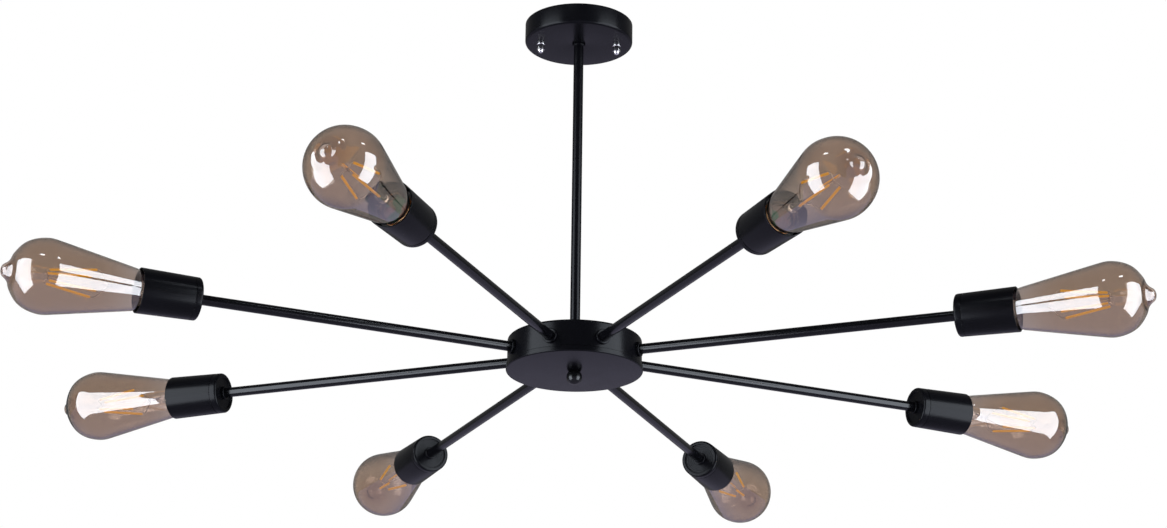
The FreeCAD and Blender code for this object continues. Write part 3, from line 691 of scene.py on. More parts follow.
class Trees:
    """The geometry node trees that repeated and rolled shapes come from."""

    def __init__(self) -> None:
        """Build both trees."""
        self.copies = self.draw_copies()
        self.thread = self.draw_thread()

    @staticmethod
    def draw_copies() -> bpy.types.NodeTree:
        """Draw the tree that sets copies of a shape round an axis."""
        draft = TreeDraft("copies_round_axis", [
            ("Copies", "NodeSocketInt"), ("First Angle", "NodeSocketFloat"),
            ("Step", "NodeSocketFloat"), ("Axis", "NodeSocketVector"),
            ("Centre", "NodeSocketVector"), ("Material", "NodeSocketMaterial"),
        ])
        given = draft.source.outputs
        back = draft.add("ShaderNodeVectorMath", {0: given["Centre"], "Scale": -1.0},
                         operation="SCALE")
        centred = draft.add("GeometryNodeTransform", {
            "Geometry": given["Geometry"], "Translation": back.outputs[0],
        })
        line = draft.add("GeometryNodeMeshLine", {
            "Count": given["Copies"], "Start Location": given["Centre"], "Offset": (0.0, 0.0, 0.0),
        })
        index = draft.add("GeometryNodeInputIndex").outputs[0]
        angle = draft.math("MULTIPLY_ADD", index, given["Step"], given["First Angle"])
        turn = draft.add("FunctionNodeAxisAngleToRotation", {"Axis": given["Axis"], "Angle": angle})
        spread = draft.add("GeometryNodeInstanceOnPoints", {
            "Points": line.outputs[0], "Instance": centred.outputs[0], "Rotation": turn.outputs[0],
        })
        return draft.close(spread.outputs[0])

    @staticmethod
    def draw_thread() -> bpy.types.NodeTree:
        """Draw the tree that rolls a round thread into a sheet turned about the X axis."""
        sizes = ("Pitch", "Depth", "Start", "End", "Fade", "Inside", "Level")
        sockets = [(name, "NodeSocketFloat") for name in sizes]
        draft = TreeDraft("rolled_thread", sockets + [("Material", "NodeSocketMaterial")])
        given = draft.source.outputs
        position = draft.add("GeometryNodeInputPosition").outputs[0]
        place = draft.add("ShaderNodeSeparateXYZ", {0: position})
        along, across, height = place.outputs
        rise = draft.math("SUBTRACT", height, given["Level"])
        rise_squared = draft.math("MULTIPLY", rise, rise)
        radius = draft.math("SQRT", draft.math("MULTIPLY_ADD", across, across, rise_squared))
        angle = draft.math("ARCTAN2", rise, across)
        phase = draft.math("MULTIPLY", draft.math("DIVIDE", along, given["Pitch"]), FULL_TURN)
        ahead = draft.math("ADD", angle, FULL_TURN / 4)
        wave = draft.math("COSINE", draft.math("SUBTRACT", ahead, phase))
        since = draft.math("DIVIDE", draft.math("SUBTRACT", along, given["Start"]), given["Fade"])
        until = draft.math("DIVIDE", draft.math("SUBTRACT", given["End"], along), given["Fade"])
        share = draft.ramp(draft.math("MINIMUM", since, until), 0.0, 1.0)
        reach = draft.math("MULTIPLY", draft.math("MULTIPLY", wave, given["Depth"]), share)
        offset = draft.add("ShaderNodeCombineXYZ", {
            1: draft.math("MULTIPLY", draft.math("DIVIDE", across, radius), reach),
            2: draft.math("MULTIPLY", draft.math("DIVIDE", rise, radius), reach),
        })
        sheet = draft.math("GREATER_THAN", radius, given["Inside"])
        moved = draft.add("GeometryNodeSetPosition", {
            "Geometry": given["Geometry"], "Selection": sheet, "Offset": offset.outputs[0],
        })
        return draft.close(moved.outputs[0])

    @staticmethod
    def run(tree: bpy.types.NodeTree, mesh: bpy.types.Mesh,
            values: dict[str, object]) -> bpy.types.Mesh:
        """Run a tree on a mesh.

        Args:
            tree: The tree.
            mesh: The mesh it starts from.
            values: The tree's inputs by name.

        Returns:
            The plain mesh that comes out.
        """
        holder = bpy.data.objects.new("tree_holder", mesh)
        bpy.context.scene.collection.objects.link(holder)
        modifier = holder.modifiers.new("tree", "NODES")
        modifier.node_group = tree
        for item in tree.interface.items_tree:
            if item.item_type == "SOCKET" and item.in_out == "INPUT" and item.name in values:
                modifier[item.identifier] = values[item.name]
        graph = bpy.context.evaluated_depsgraph_get()
        result = bpy.data.meshes.new_from_object(holder.evaluated_get(graph), depsgraph=graph)
        bpy.data.objects.remove(holder)
        return result


def arc_points(before: Vector, corner: Vector, after: Vector, radius: float) -> list[Point]:
    """Give the points of the arc that rounds a corner of an outline."""
    to_before = (before - corner).normalized()
    to_after = (after - corner).normalized()
    half = to_before.angle(to_after) / 2
    reach = min(radius / math.tan(half), (before - corner).length / 2,
                (after - corner).length / 2)
    bend = reach * math.tan(half)
    centre = corner + (to_before + to_after).normalized() * (bend / math.sin(half))
    first = corner + to_before * reach - centre
    last = corner + to_after * reach - centre
    steps = max(3, int(math.degrees(first.angle(last)) / ARC_STEP))
    sweep = first.angle_signed(last)
    points = []
    for step in range(steps + 1):
        turned = first.copy()
        turned.rotate(Matrix.Rotation(-sweep * step / steps, 2))
        points.append(tuple(centre + turned))
    return points


def rounded(corners: Sequence[Corner], closed: bool = True) -> list[Point]:
    """Round the corners of an outline.

    Args:
        corners: Place along the axis, distance from it and corner radius of each corner.
        closed: Whether the outline is a loop.

    Returns:
        The points of the outline.
    """
    places = [Vector(corner[:2]) for corner in corners]
    points: list[Point] = []
    for index, (along, radius, bend) in enumerate(corners):
        at_end = not closed and index in (0, len(corners) - 1)
        if bend <= 0 or at_end:
            points.append((along, radius))
            continue
        before = places[index - 1]
        after = places[(index + 1) % len(places)]
        points += arc_points(before, places[index], after, bend)
    return points


def split_runs(points: Sequence[Point], longest: float, start: float,
               end: float) -> list[Point]:
    """Divide the runs of an outline that lie between two places along the axis."""
    result: list[Point] = []
    for first, last in zip(points, list(points[1:]) + [points[0]]):
        result.append(first)
        middle = (first[0] + last[0]) / 2
        pieces = math.ceil(math.dist(first, last) / longest) if start < middle < end else 1
        for piece in range(1, pieces):
            share = piece / pieces
            result.append((first[0] + (last[0] - first[0]) * share,
                           first[1] + (last[1] - first[1]) * share))
    return result


def smooth_curve(knots: Sequence[Point], steps: int) -> list[Point]:
    """Run a smooth curve through points; the first and last knots only guide its ends."""
    points: list[Point] = []
    places = [Vector(knot) for knot in knots]
    for before, start, end, after in zip(places, places[1:], places[2:], places[3:]):
        gap = (end - start).length
        leave = ((start - before) / (start - before).length + (end - start) / gap) / 2
        arrive = ((end - start) / gap + (after - end) / (after - end).length) / 2
        leave = leave.normalized() * gap
        arrive = arrive.normalized() * gap
        for step in range(steps):
            t = step / steps
            value = (start * (2 * t**3 - 3 * t**2 + 1) + leave * (t**3 - 2 * t**2 + t)
                     + end * (3 * t**2 - 2 * t**3) + arrive * (t**3 - t**2))
            points.append(tuple(value))
    points.append(tuple(places[-2]))
    return points


def turned_mesh(name: str, outline: Sequence[Point], segments: int, axis: Axis,
                level: float = 0.0, closed: bool = True,
                shape: Optional[Callable[[Vector], Vector]] = None) -> bpy.types.Mesh:
    """Turn an outline about an axis.

    Args:
        name: Name of the mesh.
        outline: Place along the axis and distance from it, of each point.
        segments: Faces round the axis.
        axis: The axis.
        level: Height of a level axis.
        closed: Whether the outline is a loop; an open one has its ends on the axis.
        shape: Moves each point, given and returned as along, across and up, about the axis.

    Returns:
        The mesh, in metres, with its faces outwards.
    """
    work = bmesh.new()
    rings: list[list[bmesh.types.BMVert]] = []
    for along, radius in outline:
        count = segments if radius > ON_AXIS else 1
        ring = []
        for step in range(count):
            angle = FULL_TURN * step / segments
            place = Vector((along, radius * math.cos(angle), radius * math.sin(angle)))
            place = shape(place) if shape else place
            if axis is Axis.UPRIGHT:
                place = Vector((place.y, place.z, place.x))
            ring.append(work.verts.new((place + Vector((0, 0, level))) * MILLIMETRE))
        rings.append(ring)
    pairs = list(zip(rings, rings[1:]))
    if closed:
        pairs.append((rings[-1], rings[0]))
    for first, last in pairs:
        for step in range(segments):
            after = (step + 1) % segments
            corners = [first[step % len(first)], first[after % len(first)],
                       last[after % len(last)], last[step % len(last)]]
            unique = list(dict.fromkeys(corners))
            if len(unique) > 2:
                work.faces.new(unique)
    if work.calc_volume(signed=True) < 0:
        bmesh.ops.reverse_faces(work, faces=work.faces)
    return finished_mesh(name, work)


def finished_mesh(name: str, work: bmesh.types.BMesh,
                  crease: float = SOFT_CREASE) -> bpy.types.Mesh:
    """Turn a work mesh into a mesh that is smooth but for its sharp edges."""
    mesh = bpy.data.meshes.new(name)
    work.to_mesh(mesh)
    work.free()
    mesh.shade_smooth()
    mesh.set_sharp_from_angle(angle=math.radians(crease))
    return mesh


def joined_mesh(name: str, meshes: Sequence[bpy.types.Mesh]) -> bpy.types.Mesh:
    """Put several meshes into one, keeping their sharp edges and material slots."""
    result = bpy.data.meshes.new(name)
    slots: list[bpy.types.Material] = []
    work = bmesh.new()
    for mesh in meshes:
        known = len(work.faces)
        work.from_mesh(mesh)
        work.faces.ensure_lookup_table()
        for face in work.faces[known:]:
            material = mesh.materials[face.material_index] if len(mesh.materials) else None
            if material not in slots:
                slots.append(material)
            face.material_index = slots.index(material)
    work.to_mesh(result)
    work.free()
    for material in slots:
        result.materials.append(material)
    return result


def placed_mesh(name: str, mesh: bpy.types.Mesh, turn: Matrix) -> bpy.types.Mesh:
    """Copy a mesh to another place."""
    copy = mesh.copy()
    copy.name = name
    copy.transform(turn)
    return copy


def wire_mesh(name: str, route: Sequence[Vector], radius: float,
              sides: int = 10) -> bpy.types.Mesh:
    """Sweep a round wire with rounded bends along a route.

    Args:
        name: Name of the mesh.
        route: The route's points.
        radius: The wire's radius.
        sides: Faces round the wire.

    Returns:
        The mesh, in metres, closed at both ends.
    """
    work = bmesh.new()
    normal = (route[1] - route[0]).orthogonal().normalized()
    rings = []
    for index, place in enumerate(route):
        before = route[max(index - 1, 0)]
        after = route[min(index + 1, len(route) - 1)]
        heading = (after - before).normalized()
        normal = (normal - heading * normal.dot(heading)).normalized()
        side = heading.cross(normal)
        ring = []
        for step in range(sides):
            angle = FULL_TURN * step / sides
            offset = (normal * math.cos(angle) + side * math.sin(angle)) * radius
            ring.append(work.verts.new((place + offset) * MILLIMETRE))
        rings.append(ring)
    for first, last in zip(rings, rings[1:]):
        for step in range(sides):
            after = (step + 1) % sides
            work.faces.new((first[step], first[after], last[after], last[step]))
    work.faces.new(rings[0])
    work.faces.new(rings[-1])
    bmesh.ops.recalc_face_normals(work, faces=work.faces)
    return finished_mesh(name, work, HARD_CREASE)


def hex_mesh(name: str, across_flats: float, bottom: float, top: float,
             bevel: float) -> bpy.types.Mesh:
    """Make an upright hexagonal block with turned-off corners at its lower end."""
    work = bmesh.new()
    reach = across_flats / math.sqrt(3)
    rings = []
    for level, radius in ((bottom, reach - bevel), (bottom + bevel * 0.6, reach), (top, reach)):
        ring = []
        for step in range(HEX_SIDES):
            angle = FULL_TURN * step / HEX_SIDES
            place = Vector((radius * math.cos(angle), radius * math.sin(angle), level))
            ring.append(work.verts.new(place * MILLIMETRE))
        rings.append(ring)
    for first, last in zip(rings, rings[1:]):
        for step in range(HEX_SIDES):
            after = (step + 1) % HEX_SIDES
            work.faces.new((first[step], first[after], last[after], last[step]))
    work.faces.new(rings[0])
    work.faces.new(rings[-1])
    bmesh.ops.recalc_face_normals(work, faces=work.faces)
    edges = [edge for edge in work.edges if edge.calc_face_angle(0) > math.radians(HEX_EDGE)]
    bmesh.ops.bevel(work, geom=edges, offset=EDGE_BREAK * MILLIMETRE, segments=2, profile=0.6,
                    affect="EDGES")
    return finished_mesh(name, work, HARD_CREASE)


@dataclass
class Layout:
    """Where the light's pieces stand, and the screw thread that bulbs and sockets share."""

    arm_count: int = 8
    first_arm_angle: float = 22.5
    canopy_bottom: float = -19.2
    hub_top: float = -306.7
    hub_bottom: float = -336.3
    arm_level: float = -321.5
    cup_rear: float = 348.2
    cup_mouth: float = 400.2
    thread_pitch: float = 3.629
    thread_depth: float = 0.42

    def arm_turn(self, index: int) -> Matrix:
        """Give the turn that takes a lamp from the X axis to its arm."""
        degrees = self.first_arm_angle + index * 360 / self.arm_count
        return Matrix.Rotation(math.radians(degrees), 4, "Z")


@dataclass
class Workshop:
    """What every sub-assembly needs: the finishes, the trees and the way to add a piece."""

    finishes: Finishes
    trees: Trees

    def add(self, name: str, mesh: bpy.types.Mesh, slot: Slot, body: str = FIXTURE,
            nodes: Sequence[str] = (),
            own: Optional[bpy.types.Material] = None) -> bpy.types.Object:
        """Add a piece to the scene.

        Args:
            name: Name of the piece.
            mesh: Its mesh, in its place.
            slot: The record's slot it takes its finish from.
            body: The CAD body it rides on.
            nodes: The CAD nodes it stands for.
            own: Its material, if it isn't the slot's and the mesh has none.

        Returns:
            The piece's object.
        """
        mesh.name = name
        if not len(mesh.materials) or mesh.materials[0] is None:
            mesh.materials.clear()
            mesh.materials.append(own or self.finishes.by_slot[slot])
        piece = bpy.data.objects.new(name, mesh)
        bpy.context.scene.collection.objects.link(piece)
        if nodes:
            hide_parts(*nodes)
        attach(piece, body)
        LOG.info("%s: %d faces on %s, for %s", name, len(mesh.polygons), body,
                 ", ".join(nodes) or "no node")
        return piece

    def round_axis(self, mesh: bpy.types.Mesh, copies: int, first_angle: float, axis: Vector,
                   centre: Vector, material: bpy.types.Material) -> bpy.types.Mesh:
        """Set evenly spaced copies of a mesh round an axis.

        Args:
            mesh: The shape to copy.
            copies: How many.
            first_angle: Angle of the first, in radians.
            axis: The axis's direction.
            centre: A point on it, in metres.
            material: The copies' material.

        Returns:
            One mesh that holds the copies.
        """
        return Trees.run(self.trees.copies, mesh, {
            "Copies": copies, "First Angle": first_angle, "Step": FULL_TURN / copies,
            "Axis": tuple(axis), "Centre": tuple(centre), "Material": material,
        })

    def on_every_arm(self, mesh: bpy.types.Mesh, layout: Layout,
                     material: bpy.types.Material) -> bpy.types.Mesh:
        """Copy a mesh from the X axis to all the arms."""
        first_angle = math.radians(layout.first_arm_angle)
        return self.round_axis(mesh, layout.arm_count, first_angle, UP, ORIGIN, material)


@dataclass
class CeilingCanopy:
    """The canopy with its two domed nuts."""

    shop: Workshop
    layout: Layout
    radius: float = 49.5
    wall: float = 1.2
    edge_radius: float = 2.6
    rod_hole: float = 4.75
    nut_distance: float = 35.0
    nut_flange_radius: float = 3.8
    nut_flange_height: float = 1.2
    nut_across_flats: float = 6.2
    nut_height: float = 5.4
    nut_dome_radius: float = 2.8

    def build(self) -> None:
        """Build and dress the canopy's pieces."""
        self.shop.add("canopy_cup", self.cup(), Slot.BLACK_SATIN, nodes=["canopy"])
        nickel = self.shop.finishes.by_slot[Slot.NICKEL]
        nuts = self.shop.round_axis(self.domed_nut(), 2, 0.0, UP, ORIGIN, nickel)
        self.shop.add("domed_nuts", nuts, Slot.NICKEL, nodes=["canopy_cap_nuts"])

    def cup(self) -> bpy.types.Mesh:
        """Make the spun cup with its rolled lip."""
        bottom = self.layout.canopy_bottom
        floor = bottom + self.wall
        inner = self.radius - self.wall
        outline = rounded([
            (floor, self.rod_hole, 0), (bottom, self.rod_hole, 0.3),
            (bottom, self.radius, self.edge_radius), (0.0, self.radius, 0.5), (0.0, inner, 0.5),
            (floor, inner, self.edge_radius - self.wall),
        ])
        return turned_mesh("canopy_cup", outline, Sides.CANOPY, Axis.UPRIGHT)

    def domed_nut(self) -> bpy.types.Mesh:
        """Make a cap nut at its place on the X axis: flange, hexagon and dome."""
        top = self.layout.canopy_bottom
        flange = top - self.nut_flange_height
        hex_bottom = flange - self.nut_height
        crown = hex_bottom - self.nut_dome_radius
        plate = turned_mesh("nut_flange", rounded([
            (top, 0, 0), (top, self.nut_flange_radius, 0.2),
            (flange, self.nut_flange_radius, 0.4), (flange, 0, 0),
        ], closed=False), Sides.SMALL, Axis.UPRIGHT, closed=False)
        dome = [(hex_bottom + 0.6, 0.0), (hex_bottom + 0.6, self.nut_dome_radius)]
        for step in range(13):
            angle = FULL_TURN / 4 * step / 12
            dome.append((hex_bottom - self.nut_dome_radius * math.sin(angle),
                         self.nut_dome_radius * math.cos(angle)))
        dome[-1] = (crown, 0.0)
        ball = turned_mesh("nut_dome", dome, Sides.SMALL, Axis.UPRIGHT, closed=False)
        block = hex_mesh("nut_hexagon", self.nut_across_flats, hex_bottom, flange + 0.3, 0.5)
        nut = joined_mesh("cap_nut", [plate, block, ball])
        nut.transform(Matrix.Translation((self.nut_distance * MILLIMETRE, 0, 0)))
        return nut


@dataclass
class DownRod:
    """The rod with its two collars."""

    shop: Workshop
    layout: Layout
    radius: float = 4.5
    bore: float = 3.3
    top: float = -12.6
    foot: float = -314.8
    collar_radius: float = 6.0
    collar_height: float = 2.2
    collar_edge: float = 0.5
    collar_clearance: float = 0.08

    def build(self) -> None:
        """Build and dress the rod and its collars."""
        rod = turned_mesh("rod_tube", rounded([
            (self.foot, self.bore, 0.2), (self.foot, self.radius, 0.3),
            (self.top, self.radius, 0.3), (self.top, self.bore, 0.2),
        ]), Sides.TUBE, Axis.UPRIGHT)
        self.shop.add("rod_tube", rod, Slot.BLACK_SATIN, nodes=["down_rod"])
        collars = []
        hole = self.radius + self.collar_clearance
        for bottom in (self.layout.canopy_bottom - self.collar_height, self.layout.hub_top):
            top = bottom + self.collar_height
            collars.append(turned_mesh("collar", rounded([
                (bottom, hole, 0), (bottom, self.collar_radius, self.collar_edge),
                (top, self.collar_radius, self.collar_edge), (top, hole, 0),
            ]), Sides.COLLAR, Axis.UPRIGHT))
        self.shop.add("collar_pair", joined_mesh("collar_pair", collars), Slot.BLACK_SATIN,
                      nodes=["rod_collars"])


@dataclass
class Hub:
    """The drum, its cover and the finial."""

    shop: Workshop
    layout: Layout
    radius: float = 59.9
    wall: float = 1.2
    top_edge: float = 2.2
    rod_hole: float = 4.75
    seam_level: float = -335.0
    skirt_inside: float = 60.0
    skirt_outside: float = 61.0
    skirt_height: float = 5.0
    cover_thickness: float = 1.2
    cover_edge: float = 1.4
    finial_radius: float = 7.0
    finial_drop: float = 5.0

    def build(self) -> None:
        """Build and dress the hub's pieces."""
        self.shop.add("hub_drum", self.drum(), Slot.BLACK_SATIN, nodes=["hub_housing"])
        self.shop.add("hub_lid", self.lid(), Slot.BLACK_SATIN, nodes=["hub_cover"])
        self.shop.add("finial_ball", self.ball(), Slot.BLACK_GLOSS, nodes=["finial"])

    def drum(self) -> bpy.types.Mesh:
        """Make the drum, open below."""
        top = self.layout.hub_top
        ceiling = top - self.wall
        inner = self.radius - self.wall
        outline = rounded([
            (ceiling, self.rod_hole, 0), (ceiling, inner, self.top_edge - self.wall),
            (self.seam_level, inner, 0), (self.seam_level, self.radius, 0.2),
            (top, self.radius, self.top_edge), (top, self.rod_hole, 0.2),
        ])
        return turned_mesh("hub_drum", outline, Sides.HUB, Axis.UPRIGHT)

    def lid(self) -> bpy.types.Mesh:
        """Make the flat cover with its short skirt."""
        bottom = self.layout.hub_bottom
        floor = bottom + self.cover_thickness
        skirt_top = bottom + self.skirt_height
        outline = rounded([
            (floor, 0.0, 0), (floor, self.skirt_inside, 0.3), (skirt_top, self.skirt_inside, 0.25),
            (skirt_top, self.skirt_outside, 0.35), (bottom, self.skirt_outside, self.cover_edge),
            (bottom, 0.0, 0),
        ], closed=False)
        return turned_mesh("hub_lid", outline, Sides.HUB, Axis.UPRIGHT, closed=False)

    def ball(self) -> bpy.types.Mesh:
        """Make the finial: a ball cut flat where it meets the cover."""
        seat = self.layout.hub_bottom
        centre = seat - self.finial_drop
        start = math.acos(self.finial_drop / self.finial_radius)
        outline = [(seat, 0.0)]
        for step in range(33):
            angle = start + (math.pi - start) * step / 32
            outline.append((centre + self.finial_radius * math.cos(angle),
                            self.finial_radius * math.sin(angle)))
        outline[-1] = (centre - self.finial_radius, 0.0)
        return turned_mesh("finial_ball", outline, Sides.TUBE, Axis.UPRIGHT, closed=False)


@dataclass
class Arms:
    """The eight arms with a ring at each drum hole and a nut in each cup's recess."""

    shop: Workshop
    layout: Layout
    radius: float = 4.5
    bore: float = 3.3
    inner_end: float = 53.0
    outer_end: float = 357.5
    hub_radius: float = 60.0
    ring_radius: float = 6.7
    ring_length: float = 2.6
    nut_radius: float = 6.0
    nut_length: float = 3.0
    nut_edge: float = 0.8
    recess_floor: float = 349.4
    clearance: float = 0.08

    def build(self) -> None:
        """Build and dress the arms and rings."""
        level = self.layout.arm_level
        tube = turned_mesh("arm_tube", rounded([
            (self.inner_end, self.bore, 0.2), (self.inner_end, self.radius, 0.3),
            (self.outer_end, self.radius, 0.3), (self.outer_end, self.bore, 0.2),
        ]), Sides.ARM, Axis.ALONG_ARM, level)
        glossier = self.shop.finishes.glossier
        self.shop.add("arm_set", self.shop.on_every_arm(tube, self.layout, glossier),
                      Slot.BLACK_SATIN, nodes=["arm_tubes"], own=glossier)
        rings = joined_mesh("arm_ring", [self.drum_ring(level), self.recess_nut(level)])
        satin = self.shop.finishes.by_slot[Slot.BLACK_SATIN]
        self.shop.add("arm_ring_set", self.shop.on_every_arm(rings, self.layout, satin),
                      Slot.BLACK_SATIN, nodes=["arm_rings"])

    def drum_ring(self, level: float) -> bpy.types.Mesh:
        """Make the ring whose inner face follows the drum."""
        front = self.hub_radius + self.ring_length
        hole = self.radius + self.clearance
        outline = rounded([
            (self.hub_radius - 1.0, hole, 0), (front, hole, 0.2),
            (front, self.ring_radius, self.ring_length / 4),
            (self.hub_radius - 1.0, self.ring_radius, 0),
        ])

        def follow(place: Vector) -> Vector:
            """Bend the inner face onto the drum."""
            if place.x < self.hub_radius:
                place.x = math.sqrt(self.hub_radius**2 - place.y**2) + 0.1
            return place

        return turned_mesh("drum_ring", outline, Sides.TUBE, Axis.ALONG_ARM, level, shape=follow)

    def recess_nut(self, level: float) -> bpy.types.Mesh:
        """Make the round nut in the recess of the cup's rear face."""
        rear = self.recess_floor - self.nut_length
        hole = self.radius + self.clearance
        return turned_mesh("recess_nut", rounded([
            (rear, hole, 0.2), (self.recess_floor, hole, 0),
            (self.recess_floor, self.nut_radius, 0), (rear, self.nut_radius, self.nut_edge),
        ]), Sides.TUBE, Axis.ALONG_ARM, level)


@dataclass
class SocketCups:
    """The eight cups at the arms' ends, and the threaded shells inside them."""

    shop: Workshop
    layout: Layout
    length: float = 52.0
    rear_radius: float = 18.4
    mouth_radius: float = 19.45
    wall: float = 1.1
    rear_edge: float = 3.0
    recess_radius: float = 14.7
    recess_depth: float = 1.2
    arm_hole: float = 4.75
    groove_distance: float = 6.0
    groove_width: float = 0.8
    groove_depth: float = 0.4
    turned_rings: int = 5
    turned_depth: float = 0.12
    turned_half_width: float = 0.35
    shell_front: float = 388.95
    shell_length: float = 21.0
    shell_mean_radius: float = 13.0
    shell_sheet: float = 0.9
    shell_mouth_radius: float = 13.5
    thread_length: float = 14.5
    thread_share: float = 0.9
    thread_fade: float = 1.5

    def build(self) -> None:
        """Build and dress the cups and shells."""
        cup = self.cup()
        for index in range(self.layout.arm_count):
            name = f"lamp_cup_{index + 1}"
            self.shop.add(name, placed_mesh(name, cup, self.layout.arm_turn(index)),
                          Slot.BLACK_SATIN, nodes=[f"socket_cup_{index + 1}"])
        brass = self.shop.finishes.by_slot[Slot.SHELL]
        self.shop.add("threaded_shells", self.shop.on_every_arm(self.shell(), self.layout, brass),
                      Slot.SHELL, nodes=["screw_shells"])

    def outer_radius(self, distance: float) -> float:
        """Give the cup's outer radius at a distance from its rear."""
        return self.rear_radius + distance / self.length * (self.mouth_radius - self.rear_radius)

    def cup(self) -> bpy.types.Mesh:
        """Make a cup with its turned rear face, groove and rolled lip."""
        rear = self.layout.cup_rear
        mouth = self.layout.cup_mouth
        disc = rear + self.recess_depth
        groove = self.groove_distance
        groove_end = groove + self.groove_width
        corners = [(disc + self.wall, self.arm_hole, 0), (disc, self.arm_hole, 0.2)]
        width = (self.recess_radius - self.arm_hole) / (self.turned_rings + 1)
        for ring in range(1, self.turned_rings + 1):
            middle = self.arm_hole + width * (ring + 0.2)
            corners += [(disc, middle - self.turned_half_width, 0.1),
                        (disc + self.turned_depth, middle, 0.1),
                        (disc, middle + self.turned_half_width, 0.1)]
        groove_floor = self.outer_radius(groove) - self.groove_depth
        corners += [
            (disc, self.recess_radius, 0.25), (rear, self.recess_radius, self.recess_depth / 3),
            (rear, self.rear_radius, self.rear_edge),
            (rear + groove, self.outer_radius(groove), 0.12), (rear + groove, groove_floor, 0.1),
            (rear + groove_end, groove_floor, 0.1),
            (rear + groove_end, self.outer_radius(groove_end), 0.12),
            (mouth, self.mouth_radius, 0.4), (mouth, self.mouth_radius - self.wall, 0.4),
            (disc + self.wall, self.rear_radius - self.wall, self.wall),
        ]
        return turned_mesh("lamp_cup", rounded(corners), Sides.LAMP, Axis.ALONG_ARM,
                           self.layout.arm_level)

    def shell(self) -> bpy.types.Mesh:
        """Make a sheet-brass shell with its rolled thread and plain mouth."""
        front = self.shell_front
        rear = front - self.shell_length
        thread_end = rear + self.thread_length
        inner = self.shell_mean_radius
        outer = inner + self.shell_sheet
        pitch = self.layout.thread_pitch
        outline = split_runs(rounded([
            (rear, inner, 0.2), (rear, outer, 0.2), (front, outer, 0.15),
            (front, self.shell_mouth_radius, 0.15),
            (thread_end + 0.6, self.shell_mouth_radius, 0.3), (thread_end, inner, 0.3),
        ]), pitch / THREAD_STEPS, rear, thread_end)
        level = self.layout.arm_level
        blank = turned_mesh("shell_blank", outline, Sides.TUBE, Axis.ALONG_ARM, level)
        return Trees.run(self.shop.trees.thread, blank, {
            "Pitch": pitch * MILLIMETRE,
            "Depth": self.layout.thread_depth * MILLIMETRE * self.thread_share,
            "Start": rear * MILLIMETRE, "End": thread_end * MILLIMETRE,
            "Fade": self.thread_fade * MILLIMETRE, "Inside": 0.0, "Level": level * MILLIMETRE,
            "Material": self.shop.finishes.by_slot[Slot.SHELL],
        })


